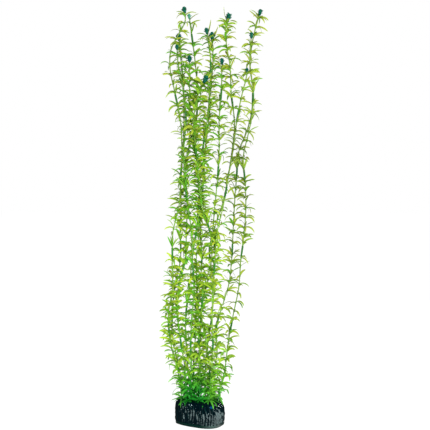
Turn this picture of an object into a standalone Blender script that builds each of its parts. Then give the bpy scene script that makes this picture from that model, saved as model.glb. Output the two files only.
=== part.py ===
"""An artificial lagarosiphon for an aquarium: leafy plastic stems plugged into a weighted base.

Metres, +Z up. The origin is the middle of the base's flat underside, +X runs along the base's
long side and -Y is the front. Thirteen flexible stems carry whorls of leaves, a thicker sleeve
joins each stem's lengths end to end, and a darker growing tip is pushed on the top of each stem.
"""
import math

import bmesh
import bpy
import numpy as np

MM = 0.001
FIT_GAP = 0.3 * MM

# Base: a ribbed oval block with one blind socket for each stem
BASE_HALF_LENGTH = 36.2 * MM
BASE_HALF_DEPTH = 24.5 * MM
BASE_SQUARENESS = 2.6
BASE_WIDENING = 0.32
BASE_TURN = math.radians(-20.0)
RIB_COUNT = 14
RIB_HEIGHT = 0.8 * MM
CROWN_LEVEL = 36.0 * MM
SOCKET_FLOOR = 22.0 * MM
SOCKET_SIDES = 6

# The block's upright section as share of the outline, height, share of the rib height, and
# how far the level is set over towards -X, which makes the right shoulder the rounder one
BASE_SECTION = (
    (0.980, 0.0 * MM, 0.3, 0.0 * MM),
    (1.000, 14.0 * MM, 1.0, 0.0 * MM),
    (0.975, 26.0 * MM, 1.0, 0.8 * MM),
    (0.880, 34.0 * MM, 0.6, 2.0 * MM),
    (0.500, 37.0 * MM, 0.0, 2.5 * MM),
)

# Stems: three-sided canes whose corners stand as far out as these radii
CANE_SIDES = 3
CANE_RADIUS = 1.1 * MM
SLEEVE_RADIUS = 1.9 * MM
PEG_RADIUS = 0.7 * MM

# Whorls of leaves: eight to a length, then a sleeve that joins the next length
WHORL_PITCH = 13.0 * MM
WHORLS_PER_LENGTH = 8
SLEEVE_SPAN = 19.0 * MM
LENGTH_PITCH = WHORL_PITCH * (WHORLS_PER_LENGTH - 1) + SLEEVE_SPAN
SHORTEST_SLEEVE_SPAN = (WHORL_PITCH + SLEEVE_SPAN) / 2
WHORL_BAND = 1.6 * MM
LOWEST_WHORL = 8.0 * MM
TOP_WHORL_DROP = 3.0 * MM
TOP_SLEEVE_DROP = 25.0 * MM
LEAF_REACH = 12.0 * MM
LEAF_RISE = 2.5 * MM
LEAF_ROOT_SHARE = 1.15
TOP_LEAF_REACH = 8.0 * MM
TOP_LEAF_RISE = 11.0 * MM

# Growing tips: six-lobed rosettes, as radius, lobe and height of each ring of a full-sized one
TIP_HEIGHT = 10.5 * MM
TIP_SIDES = 6
TIP_SECTION = (
    (1.5 * MM, 0.0 * MM, 0.0 * MM),
    (2.4 * MM, 0.0 * MM, 3.5 * MM),
    (3.4 * MM, 0.7 * MM, 7.0 * MM),
)

# Turning whorls so that leaves of neighbouring stems pass between each other
TURN_STEP = math.radians(10.0)
GOLDEN_TURN = math.radians(137.5)
LEAF_CLEARANCE = 0.5 * MM
LEAF_SHARES = (0.85, 0.7, 0.55, 0.4, 0.28)
OWN_CANE_SPAN = 9.0 * MM
CANE_STEP = 5.0 * MM
ROUTE_STEP = 1.0 * MM
SEARCH_RADIUS = 32.0 * MM

# Each stem in the order of their tops from left to right: how far the first sleeve sits above
# the crown, the size of its growing tip, and its way up. The last point is the tip's top.
STEM_ROUTES = (
    (-30, 0.7, ((-15, -9, 36), (-12, -10, 80), (-13, -9, 120), (-11, -9, 160), (-8, -10, 200),
         (-10, -11, 240), (-11, -13, 280), (-17, -16, 320), (-21, -16, 360), (-22, -15, 400),
         (-19, -14, 440), (-22, -13, 480), (-30, -14, 520), (-31.5, -16, 545.5))),
    (6, 1.0, ((-23, 7, 36), (-30, 9, 80), (-39, 9, 120), (-40, 8, 160), (-36, 9, 200),
         (-28, 10, 240), (-28, 12, 280), (-27, 13, 320), (-27, 14, 360), (-24, 14, 400),
         (-23, 14, 480), (-26, 12, 520), (-29.5, 10, 562.5))),
    (-3, 0.9, ((-26, 0, 36), (-32, 0, 80), (-42, -1, 120), (-45, -3, 160), (-39, -6, 200),
         (-39, -7, 240), (-38, -9, 280), (-29, -9, 320), (-27, -9, 360), (-25, -9, 400),
         (-27, -9, 440), (-35, -8, 480), (-42, -5, 520), (-40, -3, 540), (-30, -3, 560),
         (-20, -4, 580), (-22, -4, 599))),
    (-27, 0.7, ((-20, -6, 36), (-21, -6, 80), (-27, -5, 120), (-32, -4, 160), (-31, -2, 200),
         (-21, 0, 240), (-19, 1, 280), (-18, 2, 320), (-20, 3, 360), (-16, 5, 400),
         (-5, 8, 440), (-3, 8, 480), (-6, 7, 520), (-11, 6, 560), (-15, 5, 590))),
    (24, 0.9, ((-14, 4, 36), (-17, 4, 80), (-20, 3, 120), (-20, 3, 160), (-15, 2, 200),
         (-11, 0, 240), (-5, -4, 280), (-1, -5, 320), (-2, -5, 360), (-6, -5, 400),
         (-12, -6, 440), (-14, -6, 480), (-14, -6, 531))),
    (35, 1.05, ((11, -3, 36), (14, -3, 80), (9, -3, 120), (3, -4, 160), (6, -4, 200),
         (17, -4, 240), (15, -8, 280), (3, -16, 320), (-1, -17, 360), (-5, -17, 400),
         (-8, -16, 440), (0, -16, 480), (11, -16, 501.5))),
    (42, 0.85, ((-8, 0, 36), (-9, 4, 80), (-7, 9, 120), (-5, 12, 160), (-4, 15, 200),
         (-5, 12, 240), (-1, 6, 280), (0, 6, 320), (5, 6, 360), (5, 7, 400),
         (11, 4, 440), (14, 3, 480), (16, 2, 520), (9.5, 1, 570))),
    (-20, 1.05, ((0, -10, 36), (0, -8, 80), (-1, -4, 120), (-2, 3, 160), (0, 8, 200),
         (3, 14, 240), (1, 17, 280), (2, 17, 320), (6, 17, 360), (8, 17, 400),
         (13, 14, 440), (15, 13, 480), (19, 12, 520), (17.5, 10, 564.5))),
    (4, 0.85, ((-2, 10, 36), (-1, 10, 80), (1, 9, 120), (2, 7, 160), (9, 6, 200),
         (22, 6, 240), (20, 5, 290), (26, 3, 360), (28, 4, 400), (28, 4, 440),
         (31, 4, 480), (32, 4, 527.5))),
    (-4, 1.1, ((8, 9, 36), (8, 12, 80), (12, 15, 120), (18, 16, 160), (20, 16, 200),
         (17, 16, 225), (14, 16, 255), (20, 17, 280), (33, 15, 320), (41, 13, 360),
         (47, 12, 400), (50, 11, 430), (45, 9, 480), (43, 7, 520), (38, 5, 550),
         (38, 4, 565), (42, 4, 590.5))),
    (-26, 0.6, ((13, -12, 36), (17, -13, 80), (19, -13, 120), (18, -14, 160), (19, -14, 200),
         (22, -15, 240), (25, -14, 280), (34, -13, 320), (41, -11, 360), (48, -10, 400),
         (53, -12, 440), (61, -16, 480), (66, -18, 500), (67, -20, 513))),
    (0, 0.8, ((27, -3, 36), (36, -4, 80), (41, -4, 120), (48, -5, 160), (56, -5, 200),
         (59, -5, 240), (64, -6, 280), (66, -6, 320), (64, -8, 360), (62, -9, 385),
         (69, -9, 420), (75, -9, 450), (76, -9, 475), (71, -8, 520), (73.5, -7, 563))),
    (2, 0.85, ((20, 7, 36), (22, 7, 80), (25, 7, 105), (24, 7, 140), (35, 6, 180),
         (41, 5, 200), (46, 4, 240), (48, 4, 280), (50, 3, 320), (53, 3, 360),
         (56, 4, 395), (66, 4, 420), (74, 5, 450), (76, 5, 480), (72, 5, 525),
         (77, 4, 560), (87, 2, 596))),
)


def clear_scene():
    """Empty the scene of objects."""
    for thing in list(bpy.data.objects):
        bpy.data.objects.remove(thing, do_unlink=True)


def plastic(name, colour, roughness):
    """A moulded plastic of one colour."""
    material = bpy.data.materials.new(name)
    material.use_nodes = True
    shader = material.node_tree.nodes["Principled BSDF"]
    shader.inputs["Base Color"].default_value = (*colour, 1.0)
    shader.inputs["Roughness"].default_value = roughness
    shader.inputs["Metallic"].default_value = 0.0
    return material


def add_object(name, shape, material):
    """Turn a finished bmesh into a named object of the scene."""
    mesh = bpy.data.meshes.new(name)
    shape.to_mesh(mesh)
    shape.free()
    thing = bpy.data.objects.new(name, mesh)
    bpy.context.scene.collection.objects.link(thing)
    if material is not None:
        mesh.materials.append(material)
    return thing


class Route:
    """A smooth curve through a stem's points, measured along its length from the foot."""

    def __init__(self, first_sleeve_mm, tip_size, points_mm):
        above = np.array(points_mm, float) * MM
        foot = above[0] * (1.0, 1.0, 0.0) + (0.0, 0.0, SOCKET_FLOOR + FIT_GAP)
        knots = np.vstack([foot, above])
        span = np.linalg.norm(np.diff(knots, axis=0), axis=1)
        chord = np.concatenate([[0.0], np.cumsum(span)])
        slope = np.gradient(knots, chord, axis=0)
        slope[:2] = (0.0, 0.0, 1.0)
        fine = np.linspace(0.0, chord[-1], int(chord[-1] / ROUTE_STEP))
        part = np.clip(np.searchsorted(chord, fine, side="right") - 1, 0, len(span) - 1)
        width = span[part][:, None]
        u = (fine - chord[part])[:, None] / width
        self.points = ((2 * u**3 - 3 * u**2 + 1) * knots[part]
                       + (u**3 - 2 * u**2 + u) * width * slope[part]
                       + (3 * u**2 - 2 * u**3) * knots[part + 1]
                       + (u**3 - u**2) * width * slope[part + 1])
        steps = np.linalg.norm(np.diff(self.points, axis=0), axis=1)
        self.along = np.concatenate([[0.0], np.cumsum(steps)])
        self.crown = float(np.interp(CROWN_LEVEL, self.points[:, 2], self.along))
        self.length = float(self.along[-1])
        self.first_sleeve = self.crown + first_sleeve_mm * MM
        self.tip_size = tip_size
        self.cane_top = self.length - TIP_HEIGHT * tip_size

    def at(self, distance):
        """Point of the curve at a distance along it."""
        return np.array([np.interp(distance, self.along, self.points[:, k]) for k in range(3)])

    def frame(self, distance):
        """Point, two side directions and the way forward at a distance along the curve."""
        ahead = self.at(min(distance + ROUTE_STEP, self.length))
        behind = self.at(max(distance - ROUTE_STEP, 0.0))
        forward = (ahead - behind) / np.linalg.norm(ahead - behind)
        first = np.cross((0.0, 1.0, 0.0), forward)
        first /= np.linalg.norm(first)
        return self.at(distance), first, np.cross(forward, first), forward


def whorl_places(route):
    """Distances of the whorls along a stem: evenly pitched in each length, none at a sleeve.

    The last length runs on to the growing tip, and its last whorl is close under the tip.
    """
    top = route.cane_top - TOP_WHORL_DROP
    last = int((route.cane_top - TOP_SLEEVE_DROP - route.first_sleeve) / LENGTH_PITCH)
    places = []
    for length_index in range(-1, last + 1):
        lowest = route.first_sleeve + length_index * LENGTH_PITCH + SLEEVE_SPAN / 2
        count = WHORLS_PER_LENGTH if length_index < last else 2 * WHORLS_PER_LENGTH
        places += [lowest + k * WHORL_PITCH for k in range(count)]
    places = [place for place in places if route.crown + LOWEST_WHORL <= place <= top]
    if top - places[-1] > WHORL_PITCH / 2:
        places.append(top)
    return places


def side_direction(frame, turn):
    """Unit vector that points sideways from the curve at an angle round it."""
    return math.cos(turn) * frame[1] + math.sin(turn) * frame[2]


def leaf_ends(frame, turn, reach, rise):
    """Roots and tips of one whorl's three leaves, half a side round from the cane's corners."""
    roots, tips = [], []
    for k in range(CANE_SIDES):
        out = side_direction(frame, turn + (2 * k + 1) * math.pi / CANE_SIDES)
        roots.append(frame[0] + out * CANE_RADIUS * math.cos(math.pi / CANE_SIDES))
        tips.append(frame[0] + out * reach[k] + frame[3] * rise * reach[k] / LEAF_REACH)
    return np.array(roots), np.array(tips)


def clearances(first, second):
    """Free width between every round-tapered bar of one set and every one of another.

    A bar is a row (start, end, start radius, end radius). The nearest points of two centre
    lines P + s(Q - P) and R + t(S - R) solve a linear pair of equations, with s and t in 0..1.
    """
    p, q = first[:, None, 0:3], first[:, None, 3:6]
    r, s = second[None, :, 0:3], second[None, :, 3:6]
    along_first, along_second, apart = q - p, s - r, p - r
    a = (along_first**2).sum(-1)
    e = (along_second**2).sum(-1)
    b = (along_first * along_second).sum(-1)
    c = (along_first * apart).sum(-1)
    f = (along_second * apart).sum(-1)
    spread = np.maximum(a * e - b * b, 1e-18)
    at_first = np.clip((b * f - c * e) / spread, 0.0, 1.0)
    at_second = (b * at_first + f) / e
    at_first = np.where(at_second < 0.0, np.clip(-c / a, 0.0, 1.0), at_first)
    at_first = np.where(at_second > 1.0, np.clip((b - c) / a, 0.0, 1.0), at_first)
    at_second = np.clip(at_second, 0.0, 1.0)
    between = apart + along_first * at_first[..., None] - along_second * at_second[..., None]
    first_radius = first[:, None, 6] + (first[:, None, 7] - first[:, None, 6]) * at_first
    second_radius = second[None, :, 6] + (second[None, :, 7] - second[None, :, 6]) * at_second
    return np.linalg.norm(between, axis=-1) - first_radius - second_radius


def bars(starts, ends, start_radius, end_radius, stem_index, distance):
    """Rows for clearances(), each with the stem and the distance along it as the last two."""
    count = len(starts)
    columns = (starts, ends, np.full((count, 1), start_radius), np.full((count, 1), end_radius),
               np.full((count, 1), stem_index), np.reshape(distance, (-1, 1)) * np.ones((count, 1)))
    return np.hstack(columns)


def cane_bars(route, stem_index, whorls):
    """The cane, its sleeves and its growing tip as bars that leaves must miss."""
    cuts = np.linspace(0.0, route.cane_top, int(route.cane_top / CANE_STEP))
    points = np.array([route.at(cut) for cut in cuts])
    middles = (cuts[:-1] + cuts[1:]) / 2
    ends = np.array([0.0, *whorls, route.length])
    after = np.searchsorted(ends, middles)
    in_sleeve = ends[after] - ends[after - 1] > SHORTEST_SLEEVE_SPAN
    rows = bars(points[:-1], points[1:], CANE_RADIUS, CANE_RADIUS, stem_index, middles)
    rows[in_sleeve, 6:8] = SLEEVE_RADIUS
    section = [(radius + lobe, height) for radius, lobe, height in TIP_SECTION]
    for lower, upper in zip(section, section[1:] + [(0.0, TIP_HEIGHT)]):
        low, high = (route.cane_top + route.tip_size * ring[1] for ring in (lower, upper))
        rows = np.vstack([rows, bars(route.at(low)[None], route.at(high)[None],
                                     route.tip_size * lower[0], route.tip_size * upper[0],
                                     stem_index, (low + high) / 2)])
    return rows


def leaf_bars(whorl, turn, reaches):
    """One whorl's leaves as bars that taper to nothing."""
    roots, tips = leaf_ends(whorl.frame, turn, reaches, whorl.rise)
    root_radius = LEAF_ROOT_SHARE * max(whorl.low_radius, whorl.high_radius)
    return bars(roots, tips, root_radius, 0.0, whorl.stem_index, whorl.distance)


def free_width(leaves, others):
    """Smallest free width of each leaf, leaving out the stretch of cane that it grows from."""
    middle = (leaves[:, 0:3] + leaves[:, 3:6]).mean(axis=0) / 2
    near = np.linalg.norm((others[:, 0:3] + others[:, 3:6]) / 2 - middle, axis=1) < SEARCH_RADIUS
    own = (others[:, 8] == leaves[0, 8]) & (np.abs(others[:, 9] - leaves[0, 9]) < OWN_CANE_SPAN)
    others = others[near & ~own]
    if len(others) == 0:
        return np.full(len(leaves), SEARCH_RADIUS)
    return clearances(leaves, others).min(axis=1)


class Whorl:
    """One whorl of a stem: where it is, its band's two radii, its turn and its leaves."""

    def __init__(self, route, places, k, stem_index):
        self.stem_index = stem_index
        self.distance = places[k]
        self.frame = route.frame(places[k])
        below = places[k] - places[k - 1] if k > 0 else SLEEVE_SPAN
        above = places[k + 1] - places[k] if k + 1 < len(places) else WHORL_PITCH
        self.low_radius = SLEEVE_RADIUS if below > SHORTEST_SLEEVE_SPAN else CANE_RADIUS
        self.high_radius = SLEEVE_RADIUS if above > SHORTEST_SLEEVE_SPAN else CANE_RADIUS
        self.turn = (stem_index + k) * GOLDEN_TURN
        self.rise = LEAF_RISE
        reach = LEAF_REACH
        if k + 1 == len(places):
            reach = TOP_LEAF_REACH
            self.rise = TOP_LEAF_RISE * LEAF_REACH / TOP_LEAF_REACH
        if k + 2 == len(places):
            reach = (TOP_LEAF_REACH + LEAF_REACH) / 2
            self.rise = (TOP_LEAF_RISE + LEAF_RISE) / 2
        self.reaches = [reach] * CANE_SIDES

    def settle(self, others):
        """Turn until the leaves miss all the others, then shorten the ones that still don't."""
        steps = [0]
        for k in range(1, int(math.pi / CANE_SIDES / TURN_STEP) + 1):
            steps += [k, -k]
        best_turn, best_width = self.turn, -1.0
        for step in steps:
            turn = self.turn + step * TURN_STEP
            width = free_width(leaf_bars(self, turn, self.reaches), others).min()
            if width > best_width:
                best_turn, best_width = turn, width
            if width >= LEAF_CLEARANCE:
                break
        self.turn = best_turn
        full = self.reaches[0]
        for share in LEAF_SHARES:
            tight = free_width(leaf_bars(self, self.turn, self.reaches), others) < LEAF_CLEARANCE
            self.reaches = [full * share if tight[k] else self.reaches[k]
                            for k in range(CANE_SIDES)]
        return leaf_bars(self, self.turn, self.reaches)


def plan_whorls(routes):
    """Every stem's whorls from the bottom up, their leaves clear of each other and the canes."""
    places = [whorl_places(route) for route in routes]
    others = np.vstack([cane_bars(route, index, places[index])
                        for index, route in enumerate(routes)])
    plans = []
    for index, route in enumerate(routes):
        plan = []
        for k in range(len(places[index])):
            whorl = Whorl(route, places[index], k, index)
            others = np.vstack([others, whorl.settle(others)])
            plan.append(whorl)
        plans.append(plan)
    return plans


def add_ring(shape, frame, radius, turn):
    """Corners of the cane round one point of its route."""
    corners = [turn + 2 * k * math.pi / CANE_SIDES for k in range(CANE_SIDES)]
    return [shape.verts.new(frame[0] + radius * side_direction(frame, a)) for a in corners]


def join_rings(shape, lower, upper, twist):
    """Skin between two rings, its diagonals laid the way the twist goes so that it bulges."""
    for k in range(CANE_SIDES):
        after = (k + 1) % CANE_SIDES
        if twist >= 0.0:
            shape.faces.new((lower[k], lower[after], upper[k]))
            shape.faces.new((lower[after], upper[after], upper[k]))
        else:
            shape.faces.new((lower[k], lower[after], upper[after]))
            shape.faces.new((lower[k], upper[after], upper[k]))


def add_leaves(shape, lower, upper, tips):
    """A leaf on each side of a whorl's band: four sides that meet at its point."""
    for k in range(CANE_SIDES):
        after = (k + 1) % CANE_SIDES
        point = shape.verts.new(tips[k])
        rim = (lower[k], lower[after], upper[after], upper[k])
        for corner in range(4):
            shape.faces.new((rim[corner], rim[(corner + 1) % 4], point))


def add_stem(name, route, plan, material):
    """One stem: cane, sleeves and leaves as one closed skin from its foot to its peg."""
    shape = bmesh.new()
    turn = plan[0].turn
    ring = add_ring(shape, route.frame(0.0), SLEEVE_RADIUS, turn)
    shape.faces.new(reversed(ring))
    for whorl in plan:
        frame = whorl.frame
        half_band = frame[3] * WHORL_BAND / 2
        low_frame = (frame[0] - half_band, *frame[1:])
        high_frame = (frame[0] + half_band, *frame[1:])
        side = 2 * math.pi / CANE_SIDES
        sides_round = round((whorl.turn - turn) / side)
        new_turn = whorl.turn - side * sides_round
        lower = add_ring(shape, low_frame, whorl.low_radius, new_turn)
        upper = add_ring(shape, high_frame, whorl.high_radius, new_turn)
        join_rings(shape, ring, lower, new_turn - turn)
        tips = leaf_ends(frame, whorl.turn, whorl.reaches, whorl.rise)[1]
        add_leaves(shape, lower, upper, np.roll(tips, sides_round, axis=0))
        ring, turn = upper, new_turn
    top = route.frame(route.cane_top - FIT_GAP)
    peg = add_ring(shape, top, PEG_RADIUS, turn)
    join_rings(shape, ring, peg, 0.0)
    shape.faces.new(peg)
    return add_object(name, shape, material)


def add_growing_tip(name, route, material):
    """The rosette on a stem's top: three rings of corners, the last one lobed, and a point."""
    shape = bmesh.new()
    foot = route.frame(route.cane_top)
    rings = []
    for radius, lobe, height in TIP_SECTION:
        ring = []
        for k in range(TIP_SIDES):
            out = side_direction(foot, 2 * k * math.pi / TIP_SIDES)
            reach = radius + (lobe if k % 2 == 0 else -lobe)
            offset = foot[3] * height + out * reach
            ring.append(shape.verts.new(foot[0] + route.tip_size * offset))
        rings.append(ring)
    shape.faces.new(reversed(rings[0]))
    for lower, upper in zip(rings, rings[1:]):
        for k in range(TIP_SIDES):
            after = (k + 1) % TIP_SIDES
            shape.faces.new((lower[k], lower[after], upper[after], upper[k]))
    point = shape.verts.new(foot[0] + foot[3] * TIP_HEIGHT * route.tip_size)
    for k in range(TIP_SIDES):
        shape.faces.new((rings[-1][k], rings[-1][(k + 1) % TIP_SIDES], point))
    return add_object(name, shape, material)


def base_outline(count):
    """Corners of the base's outline: a superellipse that widens to the right, turned a little."""
    around = np.linspace(0.0, 2 * math.pi, count, endpoint=False)
    power = 2.0 / BASE_SQUARENESS
    across = np.sign(np.cos(around)) * np.abs(np.cos(around)) ** power
    deep = np.sign(np.sin(around)) * np.abs(np.sin(around)) ** power
    x = BASE_HALF_LENGTH * across
    y = BASE_HALF_DEPTH * deep * (1.0 + BASE_WIDENING * across)
    turned_x = x * math.cos(BASE_TURN) - y * math.sin(BASE_TURN)
    turned_y = x * math.sin(BASE_TURN) + y * math.cos(BASE_TURN)
    middle_x = (turned_x.max() + turned_x.min()) / 2
    middle_y = (turned_y.max() + turned_y.min()) / 2
    return np.column_stack([turned_x - middle_x, turned_y - middle_y])


def add_base(material, routes):
    """The weighted block: a ribbed barrel with a low crown, and a socket under every stem."""
    shape = bmesh.new()
    columns = 2 * RIB_COUNT
    outline = base_outline(columns)
    rings = []
    for share, height, rib_share, set_over in BASE_SECTION:
        ring = []
        for k, (x, y) in enumerate(outline):
            rib = RIB_HEIGHT * rib_share * (1.0 if k % 2 == 0 else -1.0)
            scale = share + rib / math.hypot(x, y)
            ring.append(shape.verts.new((x * scale - set_over, y * scale, height)))
        rings.append(ring)
    shape.faces.new(reversed(rings[0]))
    for lower, upper in zip(rings, rings[1:]):
        for k in range(columns):
            after = (k + 1) % columns
            shape.faces.new((lower[k], lower[after], upper[after], upper[k]))
    shape.faces.new(rings[-1])
    base = add_object("base", shape, material)
    cutters = add_socket_cutters(routes)
    cut = base.modifiers.new("sockets", "BOOLEAN")
    cut.operation = "DIFFERENCE"
    cut.solver = "EXACT"
    cut.object = cutters
    return base


def add_socket_cutters(routes):
    """Upright prisms, one round each stem's foot, that cut the blind sockets."""
    shape = bmesh.new()
    flat_to_corner = 1.0 / math.cos(math.pi / SOCKET_SIDES)
    radius = (SLEEVE_RADIUS + FIT_GAP) * flat_to_corner
    reach = 2 * (BASE_SECTION[-1][1] - SOCKET_FLOOR)
    for route in routes:
        made = bmesh.ops.create_cone(shape, cap_ends=True, segments=SOCKET_SIDES,
                                     radius1=radius, radius2=radius, depth=reach)
        place = (route.points[0][0], route.points[0][1], SOCKET_FLOOR + reach / 2)
        bmesh.ops.translate(shape, verts=made["verts"], vec=place)
    cutters = add_object("socket_cutters", shape, None)
    cutters.hide_render = True
    cutters.display_type = "WIRE"
    return cutters


def main():
    """Build the base, then every stem with its growing tip."""
    clear_scene()
    base_plastic = plastic("base_plastic", (0.012, 0.028, 0.030), 0.25)
    stem_plastic = plastic("stem_plastic", (0.22, 0.42, 0.08), 0.45)
    tip_plastic = plastic("tip_plastic", (0.01, 0.10, 0.08), 0.40)
    routes = [Route(*stem) for stem in STEM_ROUTES]
    add_base(base_plastic, routes)
    plans = plan_whorls(routes)
    for number, (route, plan) in enumerate(zip(routes, plans), start=1):
        add_stem(f"stem_{number:02d}", route, plan, stem_plastic)
        add_growing_tip(f"tip_{number:02d}", route, tip_plastic)


main()
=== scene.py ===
"""Looks of an artificial lagarosiphon for an aquarium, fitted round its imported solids.

Metres, +Z up, the front faces -Y. Thirteen leafy stems, each with a growing tip, stand in a
ribbed base. The routes of the stems are those of the solids.
"""
import math

import bpy
import numpy as np
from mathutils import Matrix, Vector


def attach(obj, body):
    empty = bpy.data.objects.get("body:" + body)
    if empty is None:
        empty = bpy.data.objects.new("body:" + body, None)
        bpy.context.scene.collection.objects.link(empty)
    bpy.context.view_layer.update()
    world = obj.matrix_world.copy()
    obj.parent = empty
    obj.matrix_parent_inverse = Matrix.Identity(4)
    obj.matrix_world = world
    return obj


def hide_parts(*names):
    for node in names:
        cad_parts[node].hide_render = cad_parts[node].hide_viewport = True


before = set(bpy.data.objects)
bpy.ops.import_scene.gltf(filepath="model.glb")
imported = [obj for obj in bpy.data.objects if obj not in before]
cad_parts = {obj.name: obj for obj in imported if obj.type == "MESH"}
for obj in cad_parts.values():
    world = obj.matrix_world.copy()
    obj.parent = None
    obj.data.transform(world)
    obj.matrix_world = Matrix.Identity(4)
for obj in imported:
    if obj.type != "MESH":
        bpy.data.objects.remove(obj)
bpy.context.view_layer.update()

bl_info = {
    "name": "Lagarosiphon aquarium plant",
    "version": (1, 0, 0),
    "blender": (4, 5, 0),
    "location": "View3D > Sidebar > Plant",
    "description": "Leafy stems, growing tips and ribbed base of an artificial aquarium plant",
    "category": "Object",
}

MM = 0.001
FULL_TURN = 2 * math.pi
BODY = "root"

# Levels and spacings shared with the solids
FIT_GAP = 0.3 * MM
CROWN_LEVEL = 36.0 * MM
SOCKET_FLOOR = 22.0 * MM
SOCKET_RADIUS = 2.2 * MM
WHORL_PITCH = 13.0 * MM
WHORLS_PER_LENGTH = 8
SLEEVE_SPAN = 19.0 * MM
LENGTH_PITCH = WHORL_PITCH * (WHORLS_PER_LENGTH - 1) + SLEEVE_SPAN
WHORL_BAND = 1.6 * MM
LOWEST_WHORL = 8.0 * MM
TOP_WHORL_DROP = 3.0 * MM
TOP_SLEEVE_DROP = 25.0 * MM
TIP_HEIGHT = 10.5 * MM
ROUTE_STEP = 1.0 * MM
GOLDEN_TURN = math.radians(137.5)

# Extra whorls just above the base, in millimetres over its crown, and the steps in which the
# middle of the clump is worked out
CROWN_WHORLS = (2.0, 9.0, 16.0, 24.0)
CLUMP_STEP = 5.0 * MM

# Edges that bend by more than these angles in degrees stay sharp
STEM_SHARP = 40.0
TIP_SHARP = 50.0
BASE_SHARP = 60.0
SOCKET_SHARP = 30.0

# Each stem in the order of their tops from left to right: how far the first sleeve sits above
# the crown, the size of its growing tip, and its way up. The last point is the tip's top.
STEM_ROUTES = (
    (-30, 0.7, ((-15, -9, 36), (-12, -10, 80), (-13, -9, 120), (-11, -9, 160), (-8, -10, 200),
         (-10, -11, 240), (-11, -13, 280), (-17, -16, 320), (-21, -16, 360), (-22, -15, 400),
         (-19, -14, 440), (-22, -13, 480), (-30, -14, 520), (-31.5, -16, 545.5))),
    (6, 1.0, ((-23, 7, 36), (-30, 9, 80), (-39, 9, 120), (-40, 8, 160), (-36, 9, 200),
         (-28, 10, 240), (-28, 12, 280), (-27, 13, 320), (-27, 14, 360), (-24, 14, 400),
         (-23, 14, 480), (-26, 12, 520), (-29.5, 10, 562.5))),
    (-3, 0.9, ((-26, 0, 36), (-32, 0, 80), (-42, -1, 120), (-45, -3, 160), (-39, -6, 200),
         (-39, -7, 240), (-38, -9, 280), (-29, -9, 320), (-27, -9, 360), (-25, -9, 400),
         (-27, -9, 440), (-35, -8, 480), (-42, -5, 520), (-40, -3, 540), (-30, -3, 560),
         (-20, -4, 580), (-22, -4, 599))),
    (-27, 0.7, ((-20, -6, 36), (-21, -6, 80), (-27, -5, 120), (-32, -4, 160), (-31, -2, 200),
         (-21, 0, 240), (-19, 1, 280), (-18, 2, 320), (-20, 3, 360), (-16, 5, 400),
         (-5, 8, 440), (-3, 8, 480), (-6, 7, 520), (-11, 6, 560), (-15, 5, 590))),
    (24, 0.9, ((-14, 4, 36), (-17, 4, 80), (-20, 3, 120), (-20, 3, 160), (-15, 2, 200),
         (-11, 0, 240), (-5, -4, 280), (-1, -5, 320), (-2, -5, 360), (-6, -5, 400),
         (-12, -6, 440), (-14, -6, 480), (-14, -6, 531))),
    (35, 1.05, ((11, -3, 36), (14, -3, 80), (9, -3, 120), (3, -4, 160), (6, -4, 200),
         (17, -4, 240), (15, -8, 280), (3, -16, 320), (-1, -17, 360), (-5, -17, 400),
         (-8, -16, 440), (0, -16, 480), (11, -16, 501.5))),
    (42, 0.85, ((-8, 0, 36), (-9, 4, 80), (-7, 9, 120), (-5, 12, 160), (-4, 15, 200),
         (-5, 12, 240), (-1, 6, 280), (0, 6, 320), (5, 6, 360), (5, 7, 400),
         (11, 4, 440), (14, 3, 480), (16, 2, 520), (9.5, 1, 570))),
    (-20, 1.05, ((0, -10, 36), (0, -8, 80), (-1, -4, 120), (-2, 3, 160), (0, 8, 200),
         (3, 14, 240), (1, 17, 280), (2, 17, 320), (6, 17, 360), (8, 17, 400),
         (13, 14, 440), (15, 13, 480), (19, 12, 520), (17.5, 10, 564.5))),
    (4, 0.85, ((-2, 10, 36), (-1, 10, 80), (1, 9, 120), (2, 7, 160), (9, 6, 200),
         (22, 6, 240), (20, 5, 290), (26, 3, 360), (28, 4, 400), (28, 4, 440),
         (31, 4, 480), (32, 4, 527.5))),
    (-4, 1.1, ((8, 9, 36), (8, 12, 80), (12, 15, 120), (18, 16, 160), (20, 16, 200),
         (17, 16, 225), (14, 16, 255), (20, 17, 280), (33, 15, 320), (41, 13, 360),
         (47, 12, 400), (50, 11, 430), (45, 9, 480), (43, 7, 520), (38, 5, 550),
         (38, 4, 565), (42, 4, 590.5))),
    (-26, 0.6, ((13, -12, 36), (17, -13, 80), (19, -13, 120), (18, -14, 160), (19, -14, 200),
         (22, -15, 240), (25, -14, 280), (34, -13, 320), (41, -11, 360), (48, -10, 400),
         (53, -12, 440), (61, -16, 480), (66, -18, 500), (67, -20, 513))),
    (0, 0.8, ((27, -3, 36), (36, -4, 80), (41, -4, 120), (48, -5, 160), (56, -5, 200),
         (59, -5, 240), (64, -6, 280), (66, -6, 320), (64, -8, 360), (62, -9, 385),
         (69, -9, 420), (75, -9, 450), (76, -9, 475), (71, -8, 520), (73.5, -7, 563))),
    (2, 0.85, ((20, 7, 36), (22, 7, 80), (25, 7, 105), (24, 7, 140), (35, 6, 180),
         (41, 5, 200), (46, 4, 240), (48, 4, 280), (50, 3, 320), (53, 3, 360),
         (56, 4, 395), (66, 4, 420), (74, 5, 450), (76, 5, 480), (72, 5, 525),
         (77, 4, 560), (87, 2, 596))),
)

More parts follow.
